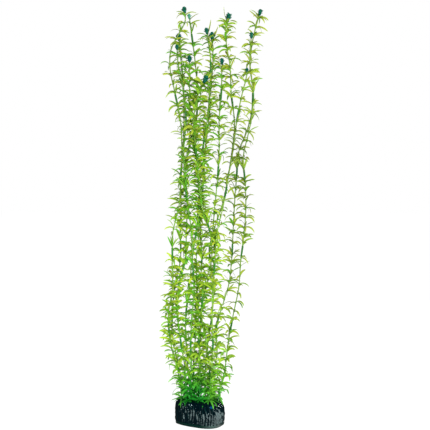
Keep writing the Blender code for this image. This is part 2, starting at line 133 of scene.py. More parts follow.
# Leaves listed one by one, long erect ones just under some growing tips and ones that hang over
# the base's rim: the stem, the direction round it in degrees from the right towards the back,
# the length in millimetres, and the rise at root and point in degrees
ERECT_LEAVES = (
    (3, 200, 15, 62, -10), (4, 10, 17, 48, 12), (6, 150, 22, 62, 78), (6, 60, 21, 70, 74),
    (6, 20, 18, 58, 50), (7, 20, 24, 56, 76), (8, 25, 24, 58, 68), (8, 50, 17, 62, 60),
    (10, 165, 25, 50, 80), (10, 195, 15, 40, -5), (13, 175, 16, 46, 4), (13, 5, 14, 25, -45),
)
RIM_LEAVES = (
    (11, 300, 21, 22, -88), (11, 335, 18, 12, -70), (11, 265, 16, 30, -60), (8, 250, 15, 15, -70),
    (1, 235, 15, 0, -60), (12, 300, 16, 20, -60), (3, 200, 14, 20, -50), (8, 300, 14, 10, -80),
)

# How yellow each stem is, from 0 for deep green to 1 for yellow-green
STEM_TONES = (0.30, 0.48, 0.52, 0.38, 0.32, 0.50, 0.45, 0.62, 0.52, 0.66, 0.66, 0.66, 0.64)

# How leafy each stem is along its height: heights in millimetres, and the number of leaves
# there as a share of the full number. From 1 on no leaf is missing. The higher it is, the
# broader the leaves are.
LEAFINESS = (
    ((40, 1.2), (80, 0.35), (120, 0.15), (150, 0.5), (200, 1.1), (240, 0.6), (280, 0.6),
     (320, 1.05), (360, 1.0), (400, 0.3), (440, 0.2), (500, 0.55), (530, 0.85)),
    ((40, 0.4), (80, 0.75), (120, 1.1), (160, 0.85), (200, 1.1), (240, 1.0), (270, 0.6),
     (320, 1.5), (360, 0.3), (400, 0.05), (440, 0.65), (480, 0.55), (520, 1.35)),
    ((40, 0.5), (80, 1.3), (120, 1.55), (160, 1.0), (200, 0.8), (240, 0.85), (280, 0.1),
     (320, 0.95), (360, 0.2), (400, 0.0), (440, 0.75), (480, 0.8), (520, 0.45), (560, 0.55)),
    ((40, 0.5), (80, 0.8), (120, 1.25), (160, 1.2), (220, 0.9), (270, 1.4), (300, 1.7),
     (340, 1.3), (380, 1.7), (420, 2.3), (480, 2.2), (520, 0.85), (560, 0.7)),
    ((40, 0.95), (80, 0.5), (120, 0.9), (160, 1.1), (200, 0.45), (240, 0.2), (280, 0.2),
     (320, 0.85), (360, 1.3), (400, 2.2), (450, 1.4), (480, 1.1), (500, 1.4)),
    ((40, 0.6), (120, 1.2), (160, 0.55), (200, 0.35), (240, 0.75), (280, 2.0), (320, 0.7),
     (360, 1.3), (400, 2.3), (440, 2.5), (470, 2.6)),
    ((40, 0.85), (80, 0.75), (120, 1.0), (160, 1.25), (200, 1.1), (250, 0.95), (310, 0.95),
     (360, 1.25), (400, 1.8), (440, 0.6), (480, 1.0), (520, 0.05), (550, 0.45)),
    ((40, 0.6), (80, 1.1), (120, 1.6), (160, 1.45), (200, 0.95), (240, 1.15), (310, 0.75),
     (360, 1.05), (400, 2.1), (440, 1.2), (480, 1.3), (520, 0.9), (555, 2.0)),
    ((40, 0.45), (80, 1.2), (120, 1.5), (160, 0.45), (240, 0.85), (280, 0.7), (330, 0.5),
     (360, 1.25), (395, 0.7), (425, 1.15), (450, 0.7), (500, 0.85), (520, 1.15)),
    ((40, 0.55), (80, 0.75), (120, 0.5), (160, 0.4), (200, 1.3), (230, 0.5), (280, 0.4),
     (310, 0.35), (340, 0.25), (385, 0.1), (440, 0.4), (480, 1.2), (520, 0.95), (545, 1.6),
     (570, 1.6)),
    ((40, 1.0), (90, 1.0), (120, 0.7), (160, 0.05), (200, 1.3), (240, 0.75), (300, 0.5),
     (360, 0.2), (400, 0.3), (440, 1.0), (490, 0.6)),
    ((40, 0.4), (80, 1.4), (130, 1.05), (160, 0.75), (190, 0.3), (260, 0.7), (280, 1.05),
     (320, 0.65), (340, 0.75), (362, 1.2), (400, 0.15), (460, 0.6), (540, 0.75)),
    ((40, 1.6), (80, 1.9), (130, 1.4), (156, 1.45), (184, 0.6), (250, 1.0), (290, 0.85),
     (320, 0.6), (340, 0.75), (362, 1.3), (400, 1.3), (440, 0.25), (480, 0.5), (520, 0.65),
     (570, 0.85)),
)

# Tint of the stems from the foot up, each at a share of 600 mm: deep green and dark at the
# crown of the base, a painted shade where the leaves crowd there; fresh green over it; olive at
# the tops, a little darker there, partly a painted shade
STEM_TINTS_AND_SHADE = (
    (0.06, (0.16, 0.58, 0.50)), (0.105, (0.46, 0.80, 0.62)), (0.16, (0.80, 0.88, 0.75)),
    (0.42, (1.0, 0.94, 0.80)), (0.58, (0.84, 0.83, 0.82)), (0.86, (0.93, 0.78, 0.95)),
)

# Stations of a leaf from root to point, where across it its four corners are, and which way
# each of them faces, 1 for the upper side and -1 for the lower
LEAF_STATIONS = 8
LEAF_CORNERS = (1.0, 0.0, -1.0, 0.0)
LEAF_FACING = (0.0, 1.0, 0.0, -1.0)

# Form of a blade: its shape as blades() takes it, how its rise and its roll grow along it, and
# how much of its thickness is gone at its point
LEAF_SHAPE = (0.62, 0.1, 0.38, 0.15)
CHOSEN_SHAPE = (0.62, 0.1, 0.38, 0.3)
SCALE_SHAPE = (0.5, 0.25, 0.5, 0.45)
CHOSEN_ROLL = math.radians(30.0)
RISE_POWER = 0.8
ROOT_ROLL = 0.6
POINT_THINNING = 0.6

# How leaves stand, as means and spreads in degrees: the rise at the root and the bend down
# from there, a little less at the tops; then the rises at root and point of the leaves that
# clasp the cane above a sleeve, of a top whorl, and of a whorl that lies on the base
LEAF_RISE = (53.0, 16.0)
LEAF_DROP = (88.0, 28.0)
HIGH_DROP = 4.0
WHORL_LIFT_SPREAD = 9.0
CLASPING_RISES = ((68.0, 6.0), (60.0, 18.0))
TOP_RISES = ((48.0, 12.0), (-35.0, 28.0))
CROWN_RISES = ((20.0, 25.0), (-40.0, 25.0))
CLASPING_SHARE = 0.5
CROWN_BAND = 4.0 * MM
TURN_SPREAD = math.radians(12.0)
BEND_SPREAD = math.radians(16.0)
ROLLS = (30.0, 75.0)
LENGTH_SPREAD = 0.12
LENGTH_LIMITS = (0.7, 1.3)
WIDTH_SPREAD = 0.10
WIDTH_LIMITS = (0.75, 1.25)
HIGH_BAND = (180.0 * MM, 420.0 * MM)
ROOT_DEPTH = 0.5
LEAF_SEED = 400

# How far leaves sit off their whorl, by chance everywhere and more where the leafiness passes
# a band, and a leaf's breadth with no leafiness and what full leafiness adds
WHORL_SHIFT = 0.8 * MM
CROWD_SHIFT = 4.0 * MM
CROWD_BAND = (0.7, 1.1)
LEAN_BREADTH = 0.75
ADDED_BREADTH = 0.35

# Yellowness of a leaf over its stem's: inside the clump, deeper as a painted shade; what the
# outside adds, a painted light; where outside begins and ends as a share of the clump's spread;
# and the spread by chance; then the yellowness of the leaves listed in the tables at the tops and
# at the base's rim
INNER_SHADE_TONE = -0.05
OUTER_LIGHT_TONE = 0.15
OUTER_LIGHT_BAND = (0.3, 1.5)
TONE_SPREAD = 0.2
ERECT_TONE = 0.75
RIM_TONE = 1.0

# Canes: steps and corners of the tube, how far a knot reaches, how far a sleeve stops short of
# the whorls beside it, how it rounds off, and where the lowest one ends above the base
CANE_STEP = 1.2 * MM
CANE_SIDES = 10
KNOT_REACH = 1.3 * MM
SLEEVE_END_GAP = 1.5 * MM
SLEEVE_ROUNDING = 0.6 * MM
FOOT_SLEEVE = (3.0 * MM, 1.0 * MM)
CUT_DECIMALS = 5

# Rosette of a full-sized growing tip: its core, and its tiers of scales as level in
# millimetres, share of the full length, and rise at root and point in degrees
CORE_RADIUS = 2.0 * MM
CORE_HEIGHT = 9.0 * MM
CORE_RINGS = 14
CORE_SIDES = 10
CORE_FOOT = 0.4
CORE_POWER = 1.5
SCALE_TIERS = (
    (0.3, 0.8, 78, 58), (1.7, 0.95, 66, 38), (3.2, 1.0, 58, 26), (4.7, 0.98, 60, 34),
    (6.2, 0.85, 68, 52), (7.3, 0.7, 80, 74),
)

# Scales: their thickness, their spreads by chance (rises in degrees), and the one paler tip
SCALE_THICKNESS = 0.7 * MM
SCALE_TURN_SPREAD = 0.12
SCALE_LENGTH_SPREAD = 0.12
SCALE_RISE_SPREADS = (8.0, 10.0)
SCALE_BEND_SPREAD = 0.15
SCALE_ROLL_SPREAD = 0.2
TIP_SEED = 900
PALE_TIP = 3

# Base: outline and upright section, as in the solid
BASE_HALF_LENGTH = 36.2 * MM
BASE_HALF_DEPTH = 24.5 * MM
BASE_SQUARENESS = 2.6
BASE_WIDENING = 0.32
BASE_TURN = math.radians(-20.0)
BASE_COLUMNS = 660
FINE_COLUMNS = 4 * BASE_COLUMNS
BASE_STEP = 0.55 * MM

# The block's section as share of the outline, height and shift towards -X
BASE_SECTION = (
    (0.980, 0.0 * MM, 0.0 * MM),
    (1.000, 14.0 * MM, 0.0 * MM),
    (0.975, 26.0 * MM, 0.8 * MM),
    (0.880, 34.0 * MM, 2.0 * MM),
    (0.500, 37.0 * MM, 2.5 * MM),
    (0.040, 37.6 * MM, 2.5 * MM),
)
UNDERSIDE_SHARES = (0.9, 0.6, 0.25)

# Flecks in the block's plastic: a place, how far it reaches from there, and its colour
BASE_FLECKS = (
    ((0.0165, -0.0240, 0.0300), 2.4 * MM, (0.002, 0.04, 0.12)),
    ((-0.0350, 0.0000, 0.0255), 3.2 * MM, (0.06, 0.018, 0.012)),
)

# Ribs: waves of their wander, of the forks' drift and of the lumps, each as the range of their
# counts round the block, their pitch up it and their number; then how far the waves move a
# groove, how blunt the grooves are, and how much forks and lumps take from a rib
RIB_SEED = 33
WANDER_WAVES = ((3, 14), 90.0 * MM, 18)
DRIFT_WAVES = ((4, 16), 50.0 * MM, 18)
LUMP_WAVES = ((14, 60), 9.0 * MM, 24)
RIB_WANDER = 0.8
FORK_WANDER = 1.5
RIBS_PER_FORK = 3.4
RIB_BLUNTNESS = 0.02
FORK_BLUNTNESS = 0.01
CREST_POWER = 0.8
FORK_DEPTH = 0.5
LUMP_DEPTH = 0.25
LUMP_SPREAD = 0.4

# Where the ribs begin over the foot and weaken below the top, as heights, and where they begin
# on the top, as shares of the outline; the relief that lies on the solid's own surface; and the
# same for the lumps on the top
RIBS_START = (3.6 * MM, 5.2 * MM)
RIBS_FADE = (33.0 * MM, 37.0 * MM)
RIBS_FADE_SHARE = 0.55
RIBS_INNER = (0.15, 0.6)
WALL_RELIEF = 0.72
TOP_START = (33.0 * MM, 36.5 * MM)
TOP_INNER = (0.0, 0.4)
TOP_RELIEF = 0.8
TOP_DEPTH = 1.0 * MM
FOOT_BAND = (3.2 * MM, 5.0 * MM)
CUTTER_LENGTH = 30.0 * MM
SOCKET_CORNERS = 20

# Finish of each plastic: scales of its drift and speckle, roughness and what speckle adds to
# it, strength and depth of its bump, and specular level
FINISHES = {
    "stem_plastic": {"scales": (60.0, 900.0), "roughness": (0.32, 0.2),
                     "bump": (0.5, 0.15 * MM), "gloss": 0.3},
    "tip_plastic": {"scales": (300.0, 1500.0), "roughness": (0.28, 0.25),
                    "bump": (0.5, 0.2 * MM), "gloss": 0.12},
    "base_plastic": {"scales": (90.0, 1100.0), "roughness": (0.05, 0.08),
                     "bump": (0.12, 0.15 * MM), "gloss": 0.16},
}
DRIFT_DETAIL = 2.0
SPECK_DETAIL = 4.0
DRIFT_HEIGHT = 0.4
SPECK_HEIGHT = 0.6

# Colour of the stems: how far drift swings a leaf's tone; how far the side that faces the sky
# swings it, a painted light and shade that makes up-facing sides yellower and lighter and
# down-facing ones deep green; how much its root is deepened, a painted shade where it meets
# the cane, and how much its midrib differs, and where; and how dark a knot is
DRIFT_SWING = 0.6
SKY_LIGHT_BAND = (0.25, 0.75)
SKY_LIGHT_SWING = 0.8
ROOT_SHADE_BAND = (0.35, 0.0)
ROOT_SHADE_SHARE = 0.45
MIDRIB_BAND = (0.3, 0.0)
MIDRIB_SHARE = 0.25
MIDRIB_RIDGE = 0.6
KNOT_SHARE = 0.6
TINT_SPAN = 600.0 * MM
SUBSURFACE_WEIGHT = 0.3
SUBSURFACE_RADIUS = (0.5, 1.0, 0.2)
SUBSURFACE_SCALE = 0.8 * MM

# Painted shade on part of the stems, as where it fades across and up the plant, and its colour:
# deep in the crown, about a place left of the middle, and duller on the right side
CROWN_SHADE_SHIFT = 8.0 * MM
CROWN_SHADE = ((26.0 * MM, 10.0 * MM), (85.0 * MM, 50.0 * MM), (0.2, 0.7, 0.85))
RIGHT_SHADE = ((28.0 * MM, 46.0 * MM), (470.0 * MM, 400.0 * MM), (0.76, 0.71, 0.95))

# Colour of the tips towards the scales' points, a painted highlight on the edges that catch the
# light; of the block's crests, a painted highlight on the ribs; and of its flecks
POINT_HIGHLIGHT_GAIN = 2.2
POINT_HIGHLIGHT_LIFT = 0.01
POINT_HIGHLIGHT_BAND = (0.3, 1.0)
POINT_HIGHLIGHT_SHARE = 0.25
CREST_HIGHLIGHT_BAND = (0.55, 1.0)
HIGHLIGHT_PATCH_BAND = (0.35, 0.65)
FLECK_RAGGEDNESS = 6.0 * MM
FLECK_CORE = 0.5
FLECK_SHARE = 0.8
GLOSS_TINT = (0.75, 1.0, 0.97, 1.0)

# Stage and camera
WHITE = (1.0, 1.0, 1.0, 1.0)
CAMERA_PLACE = (0.0220, -1.70, 0.44)
CAMERA_AIM = (0.0220, 0.0, 0.3046)
CAMERA_LENS = 99.7
CAMERA_SENSOR = 36.0
FLOOR_RADIUS = 4.0
FLOOR_SIDES = 96

# Glow of the floor, and what it loses where glossy plastic mirrors it, but for a bright patch
# at the right front; and the strength of the surroundings in such a mirror
FLOOR_GLOW = 0.94
MIRRORED_LOSS = 0.9
SHEEN_PLACE = (0.055, -0.085, 0.0)
SHEEN_REACH = (0.085, 0.03)
SHEEN_GLOW = 19.0
MIRRORED_WORLD = 0.03

# The large light, and the small ones that face the base: name, place, width and height, power
# in watts, and whether glossy plastic mirrors it
KEY_PLACE = (0.25, -1.65, 0.72)
KEY_AIM = (0.0, 0.0, 0.3)
KEY_SIZE = (0.6, 0.6)
STRIP_AIM = (0.0, 0.0, 0.02)
STRIPS = (
    ("strip", (-0.20, -1.1, 0.30), (0.05, 0.10), 4.0, True),
    ("side_strip", (0.60, -1.1, 0.12), (0.08, 0.2), 16.0, False),
    ("back_strip", (0.60, 1.1, 0.12), (0.08, 0.2), 4.0, True),
    ("far_strip", (-0.60, 1.1, 0.12), (0.06, 0.2), 2.5, True),
)


def length_setting(name, description, default):
    """A length that the user can change."""
    return bpy.props.FloatProperty(name=name, description=description, default=default,
                                   unit="LENGTH")


def colour_setting(name, description, default):
    """A colour that the user can change."""
    return bpy.props.FloatVectorProperty(name=name, description=description, default=default,
                                         subtype="COLOR", size=3)


class StemSettings(bpy.types.PropertyGroup):
    """Sizes and colours of the leafy stems."""

    leaves: bpy.props.IntProperty(
        name="Leaves per whorl", description="How many leaves stand round each node",
        default=8, min=3, max=12)
    leaf_length: length_setting("Leaf length", "Length of an average leaf", 17.0 * MM)
    low_width: length_setting("Lower leaf width", "Width of a leaf near the base", 3.0 * MM)
    high_width: length_setting("Upper leaf width", "Width of a leaf near the tops", 2.7 * MM)
    leaf_thickness: length_setting(
        "Leaf thickness", "Thickness of a leaf along its midrib", 0.4 * MM)
    cane_radius: length_setting(
        "Cane radius", "Radius of the stem between two nodes", 0.85 * MM)
    knot_radius: length_setting("Knot radius", "Radius of the stem at a node", 1.2 * MM)
    sleeve_radius: length_setting(
        "Sleeve radius", "Radius of the sleeve that joins two lengths", 1.4 * MM)
    light_leaf: colour_setting(
        "Light leaf", "Colour of the yellowest leaves", (0.275, 0.38, 0.03))
    deep_leaf: colour_setting(
        "Deep leaf", "Colour of the greenest leaves", (0.05, 0.25, 0.009))
    cane: colour_setting(
        "Light cane", "Colour between two nodes of the yellowest stem", (0.20, 0.33, 0.045))
    deep_cane: colour_setting(
        "Deep cane", "Colour between two nodes of the greenest stem", (0.04, 0.17, 0.012))
    sleeve: colour_setting("Sleeve", "Colour of sleeves and nodes", (0.02, 0.13, 0.012))


class TipSettings(bpy.types.PropertyGroup):
    """Sizes and colours of the growing tips."""

    scales: bpy.props.IntProperty(
        name="Scales per tier", description="How many scales stand in each tier of a rosette",
        default=6, min=4, max=9)
    scale_length: length_setting(
        "Scale length", "Length of the longest scales of a full-sized rosette", 5.2 * MM)
    scale_width: length_setting(
        "Scale width", "Width of the scales of a full-sized rosette", 4.0 * MM)
    neck_radius: length_setting(
        "Neck radius", "Radius where a growing tip sits on its stem", 0.8 * MM)
    colour: colour_setting("Tip", "Colour of a growing tip", (0.001, 0.046, 0.026))
    pale_colour: colour_setting(
        "Pale tip", "Colour of the one paler growing tip", (0.03, 0.13, 0.075))


class BaseSettings(bpy.types.PropertyGroup):
    """Sizes and colours of the ribbed base."""

    ribs: bpy.props.IntProperty(
        name="Ribs", description="How many ribs run up the block",
        default=46, min=8, max=80)
    rib_depth: length_setting("Rib depth", "Depth of the grooves between the ribs", 2.6 * MM)
    colour: colour_setting("Block", "Colour of the moulded block", (0.0002, 0.003, 0.0045))
    # The crest colour is a painted highlight on the ribs, in patches
    crest_highlight: colour_setting(
        "Crests", "Colour of the rubbed crests of the ribs", (0.002, 0.012, 0.012))
    foot_colour: colour_setting(
        "Foot band", "Colour of the plain band round the foot", (0.001, 0.011, 0.008))


class StageSettings(bpy.types.PropertyGroup):
    """Light and floor of the stage."""

    floor: colour_setting("Floor", "Colour of the floor", (0.15, 0.15, 0.15))
    world_light: bpy.props.FloatProperty(
        name="Surrounding light", description="Strength of the white surroundings",
        default=0.44, min=0.0)
    key_power: bpy.props.FloatProperty(
        name="Key light", description="Power of the large soft light at the right front",
        default=32.0, unit="POWER")


def node(tree, kind, inputs=None, **settings):
    """Add a shader node. Each input is a plain value or another node's output socket."""
    made = tree.nodes.new(kind)
    for name, value in settings.items():
        setattr(made, name, value)
    for name, value in (inputs or {}).items():
        if isinstance(value, bpy.types.NodeSocket):
            tree.links.new(value, made.inputs[name])
        else:
            made.inputs[name].default_value = value
    return made


def calc(tree, operation, first, second=0.0):
    """Output of a Math node."""
    return node(tree, "ShaderNodeMath", {0: first, 1: second}, operation=operation).outputs[0]


def times(tree, first, second):
    """Product of two values."""
    return calc(tree, "MULTIPLY", first, second)


def swing(tree, value, share):
    """Value in 0..1 turned into one about 0, times a share."""
    return times(tree, calc(tree, "SUBTRACT", value, 0.5), share)


def distance(tree, place, point):
    """Distance of a place from a point."""
    return node(tree, "ShaderNodeVectorMath", {0: place, 1: point},
                operation="DISTANCE").outputs["Value"]


def fade(tree, value, start, end):
    """Value that goes from 0 at start to 1 at end."""
    made = node(tree, "ShaderNodeMapRange", {"Value": value, "From Min": start, "From Max": end},
                interpolation_type="SMOOTHSTEP")
    return made.outputs["Result"]


def mix(tree, factor, first, second, blend="MIX"):
    """Colour between two colours. A plain colour has three numbers.

    Of a Mix node's sockets 0 is the factor, and 6 and 7 are its two colours.
    """
    first, second = (colour if isinstance(colour, bpy.types.NodeSocket) else (*colour, 1.0)
                     for colour in (first, second))
    made = node(tree, "ShaderNodeMix", {0: factor, 6: first, 7: second},
                data_type="RGBA", blend_type=blend)
    return made.outputs[2]


def ramp(tree, factor, stops):
    """Colour that runs through stops, each a place in 0..1 and a colour."""
    made = node(tree, "ShaderNodeValToRGB", {"Fac": factor})
    elements = made.color_ramp.elements
    while len(elements) < len(stops):
        elements.new(1.0)
    for element, (place, colour) in zip(elements, stops):
        element.position, element.color = place, (*colour, 1.0)
    return made.outputs["Color"]


def attribute(tree, name):
    """Value of one of the piece's own attributes."""
    return node(tree, "ShaderNodeAttribute", attribute_name=name).outputs["Fac"]


def moulded_plastic_group():
    """Unevenness of moulded plastic: slow drifts of shade, fine speckle and a skin height."""
    tree = bpy.data.node_groups.new("moulded_plastic", "ShaderNodeTree")
    sides = {"Vector": ("INPUT", "NodeSocketVector"), "Drift Scale": ("INPUT", "NodeSocketFloat"),
             "Speck Scale": ("INPUT", "NodeSocketFloat"), "Drift": ("OUTPUT", "NodeSocketFloat"),
             "Speck": ("OUTPUT", "NodeSocketFloat"), "Height": ("OUTPUT", "NodeSocketFloat")}
    for name, (side, kind) in sides.items():
        tree.interface.new_socket(name, in_out=side, socket_type=kind)
    given = node(tree, "NodeGroupInput").outputs
    drift = node(tree, "ShaderNodeTexNoise",
                 {"Vector": given["Vector"], "Scale": given["Drift Scale"], "Detail": DRIFT_DETAIL})
    speck = node(tree, "ShaderNodeTexNoise",
                 {"Vector": given["Vector"], "Scale": given["Speck Scale"], "Detail": SPECK_DETAIL})
    height = calc(tree, "ADD", times(tree, drift.outputs["Fac"], DRIFT_HEIGHT),
                  times(tree, speck.outputs["Fac"], SPECK_HEIGHT))
    node(tree, "NodeGroupOutput", {"Drift": drift.outputs["Fac"], "Speck": speck.outputs["Fac"],
                                   "Height": height})
    return tree


def start_material(name, finish):
    """A new material in a finish: its tree, main shader, object coordinates and plastic."""
    material = bpy.data.materials.new(name)
    material.use_nodes = True
    tree = material.node_tree
    shader = tree.nodes["Principled BSDF"]
    shader.inputs["Specular IOR Level"].default_value = finish["gloss"]
    place = node(tree, "ShaderNodeTexCoord").outputs["Object"]
    plastic = use_plastic(tree, place, *finish["scales"])
    least, added = finish["roughness"]
    rough = calc(tree, "ADD", least, times(tree, plastic["Speck"], added))
    tree.links.new(rough, shader.inputs["Roughness"])
    return material, tree, shader, place, plastic


def use_plastic(tree, place, drift_scale, speck_scale):
    """The moulded plastic group placed in a material with its own two scales."""
    group = bpy.data.node_groups.get("moulded_plastic") or moulded_plastic_group()
    made = node(tree, "ShaderNodeGroup", node_tree=group)
    tree.links.new(place, made.inputs["Vector"])
    made.inputs["Drift Scale"].default_value = drift_scale
    made.inputs["Speck Scale"].default_value = speck_scale
    return made.outputs


def bump(tree, shader, height, strength, distance):
    """Bump on the shader from a height in 0..1."""
    made = node(tree, "ShaderNodeBump",
                {"Height": height, "Strength": strength, "Distance": distance})
    tree.links.new(made.outputs["Normal"], shader.inputs["Normal"])


def stem_material(settings):
    """Leaves from deep to yellow-green, canes with darker knots and sleeves.

    A leaf is yellower and lighter the more its side faces the sky and deep green where it faces
    down, a painted light and shade; deeper at its root, a painted shade where it meets the cane;
    and lighter along its midrib. The tints go over all of it, with painted shade in them at
    the crown, at the tops and on the right side.
    """
    finish = FINISHES["stem_plastic"]
    material, tree, shader, place, plastic = start_material("stem_plastic", finish)
    parts = node(tree, "ShaderNodeSeparateXYZ", {0: place}).outputs
    right, height = parts["X"], parts["Z"]
    tone = calc(tree, "ADD", attribute(tree, "tone"), swing(tree, plastic["Drift"], DRIFT_SWING))
    # Painted light and shade: sides that face the sky turn yellower and lighter, sides that face
    # down deep green
    sky = fade(tree, attribute(tree, "sky"), *SKY_LIGHT_BAND)
    tone = calc(tree, "ADD", tone, swing(tree, sky, SKY_LIGHT_SWING))
    leaf = mix(tree, calc(tree, "MINIMUM", calc(tree, "MAXIMUM", tone, 0.0), 1.0),
               settings.deep_leaf, settings.light_leaf)
    # Painted shade: the leaf's root, where it meets the cane, is deepened towards the deep green
    root = fade(tree, attribute(tree, "along"), *ROOT_SHADE_BAND)
    leaf = mix(tree, times(tree, root, ROOT_SHADE_SHARE), leaf, settings.deep_leaf)
    midrib = fade(tree, calc(tree, "ABSOLUTE", attribute(tree, "across")), *MIDRIB_BAND)
    leaf = mix(tree, times(tree, midrib, MIDRIB_SHARE), leaf, settings.light_leaf)
    dark = calc(tree, "MAXIMUM", attribute(tree, "sleeve"),
                times(tree, attribute(tree, "knot"), KNOT_SHARE))
    cane = mix(tree, attribute(tree, "tone"), settings.deep_cane, settings.cane)
    cane = mix(tree, dark, cane, settings.sleeve)
    colour = mix(tree, attribute(tree, "leaf"), cane, leaf)
    # Tint by height, partly painted shade: dark at the crown of the base and a little darker at the
    # tops
    tint = ramp(tree, calc(tree, "DIVIDE", height, TINT_SPAN), STEM_TINTS_AND_SHADE)
    colour = mix(tree, 1.0, colour, tint, "MULTIPLY")
    # Painted shade: darker deep in the crown left of the middle, and duller on the right side
    aside = calc(tree, "ABSOLUTE", calc(tree, "ADD", CROWN_SHADE_SHIFT, right))
    for side, (across, up, shade) in ((aside, CROWN_SHADE), (right, RIGHT_SHADE)):
        where = times(tree, fade(tree, side, *across), fade(tree, height, *up))
        colour = mix(tree, where, colour, shade, "MULTIPLY")
    tree.links.new(colour, shader.inputs["Base Color"])
    shader.inputs["Subsurface Weight"].default_value = SUBSURFACE_WEIGHT
    shader.inputs["Subsurface Radius"].default_value = SUBSURFACE_RADIUS
    shader.inputs["Subsurface Scale"].default_value = SUBSURFACE_SCALE
    ridge = calc(tree, "ADD", times(tree, midrib, MIDRIB_RIDGE),
                 times(tree, plastic["Height"], 1.0 - MIDRIB_RIDGE))
    bump(tree, shader, ridge, *finish["bump"])
    return material


def tip_material(name, colour):
    """Dark teal plastic, a little lighter towards the scales' points as a painted highlight."""
    finish = FINISHES["tip_plastic"]
    material, tree, shader, _, plastic = start_material(name, finish)
    # Painted highlight: the scales grow lighter towards their points, where their edges catch the
    # light
    light = [min(1.0, POINT_HIGHLIGHT_GAIN * part + POINT_HIGHLIGHT_LIFT) for part in colour]
    point = fade(tree, attribute(tree, "along"), *POINT_HIGHLIGHT_BAND)
    shade = times(tree, point, calc(tree, "ADD", POINT_HIGHLIGHT_SHARE, plastic["Drift"]))
    tree.links.new(mix(tree, shade, colour, light), shader.inputs["Base Color"])
    bump(tree, shader, plastic["Height"], *finish["bump"])
    return material


def base_material(settings):
    """Glossy near-black plastic: darker grooves, a plain foot band and flecks.

    The crests of the ribs are painted a lighter teal in patches, a painted highlight on the ribs.
    """
    finish = FINISHES["base_plastic"]
    material, tree, shader, place, plastic = start_material("base_plastic", finish)
    # Painted highlight: lighter teal on the crests of the ribs, in patches
    crest = times(tree, fade(tree, attribute(tree, "crest"), *CREST_HIGHLIGHT_BAND),
                  fade(tree, plastic["Drift"], *HIGHLIGHT_PATCH_BAND))
    colour = mix(tree, crest, settings.colour, settings.crest_highlight)
    colour = mix(tree, attribute(tree, "foot"), colour, settings.foot_colour)
    ragged = swing(tree, plastic["Speck"], FLECK_RAGGEDNESS)
    for point, reach, fleck in BASE_FLECKS:
        away = calc(tree, "ADD", distance(tree, place, point), ragged)
        near = fade(tree, away, reach, reach * FLECK_CORE)
        colour = mix(tree, times(tree, near, FLECK_SHARE), colour, fleck)
    tree.links.new(colour, shader.inputs["Base Color"])
    bump(tree, shader, plastic["Height"], *finish["bump"])
    shader.inputs["Specular Tint"].default_value = GLOSS_TINT
    return material


def hermite(knots, slope, chord, fine):
    """Cubic curve through knots, with a given slope at each, at distances along the chords."""
    part = np.clip(np.searchsorted(chord, fine, side="right") - 1, 0, len(knots) - 2)
    width = np.diff(chord)[part][:, None]
    u = (fine - chord[part])[:, None] / width
    return ((2 * u**3 - 3 * u**2 + 1) * knots[part] + (u**3 - 2 * u**2 + u) * width * slope[part]
            + (3 * u**2 - 2 * u**3) * knots[part + 1] + (u**3 - u**2) * width * slope[part + 1])


def chords(knots):
    """Distance of each knot from the first, straight from knot to knot."""
    steps = np.linalg.norm(np.diff(knots, axis=0), axis=1)
    return np.concatenate([[0.0], np.cumsum(steps)])


def unit(rows):
    """Rows scaled to length 1."""
    return rows / np.linalg.norm(rows, axis=-1, keepdims=True)


class Route:
    """A smooth curve through a stem's points, measured along its length from the foot."""

    def __init__(self, first_sleeve_mm, tip_size, points_mm):
        above = np.array(points_mm, float) * MM
        foot = above[0] * (1.0, 1.0, 0.0) + (0.0, 0.0, SOCKET_FLOOR + FIT_GAP)
        knots = np.vstack([foot, above])
        chord = chords(knots)
        slope = np.gradient(knots, chord, axis=0)
        slope[:2] = (0.0, 0.0, 1.0)
        fine = np.linspace(0.0, chord[-1], int(chord[-1] / ROUTE_STEP))
        self.points = hermite(knots, slope, chord, fine)
        self.along = chords(self.points)
        self.crown = float(np.interp(CROWN_LEVEL, self.points[:, 2], self.along))
        self.length = float(self.along[-1])
        self.first_sleeve = self.crown + first_sleeve_mm * MM
        self.tip_size = tip_size
        self.cane_top = self.length - TIP_HEIGHT * tip_size
        self.last_length = int((self.cane_top - TOP_SLEEVE_DROP - self.first_sleeve) / LENGTH_PITCH)

    def at(self, distances):
        """Points of the curve at distances along it."""
        return np.stack([np.interp(distances, self.along, self.points[:, k]) for k in range(3)],
                        axis=-1)

    def frames(self, distances):
        """Points, two side directions and the way forward at distances along the curve."""
        distances = np.asarray(distances)
        ahead = self.at(np.minimum(distances + ROUTE_STEP, self.length))
        behind = self.at(np.maximum(distances - ROUTE_STEP, 0.0))
        forward = unit(ahead - behind)
        first = unit(np.cross((0.0, 1.0, 0.0), forward))
        return self.at(distances), first, np.cross(forward, first), forward


def sleeve_places(route):
    """Distances of the middles of a stem's sleeves."""
    return route.first_sleeve + np.arange(-1, route.last_length + 1) * LENGTH_PITCH


def whorl_places(route):
    """Distances of a stem's whorls, and which of them are the first above a sleeve.

    The last length runs on to the growing tip, and its last whorl is close under the tip.
    """
    lowest = sleeve_places(route) + SLEEVE_SPAN / 2
    order = np.arange(2 * WHORLS_PER_LENGTH)
    places = lowest[:, None] + order * WHORL_PITCH
    used = (order < WHORLS_PER_LENGTH) | (np.arange(len(lowest)) == len(lowest) - 1)[:, None]
    top = route.cane_top - TOP_WHORL_DROP
    used &= (places >= route.crown + LOWEST_WHORL) & (places <= top)
    places, first = places[used], np.broadcast_to(order == 0, places.shape)[used]
    if top - places[-1] > WHORL_PITCH / 2:
        places, first = np.append(places, top), np.append(first, False)
    return places, first


def crown_whorls(route, places):
    """Distances of the extra whorls that make the plant dense just above the base."""
    extra = route.crown + np.array(CROWN_WHORLS) * MM
    clear = np.abs(extra[:, None] - places).min(axis=1) > WHORL_PITCH / 4
    return extra[clear]


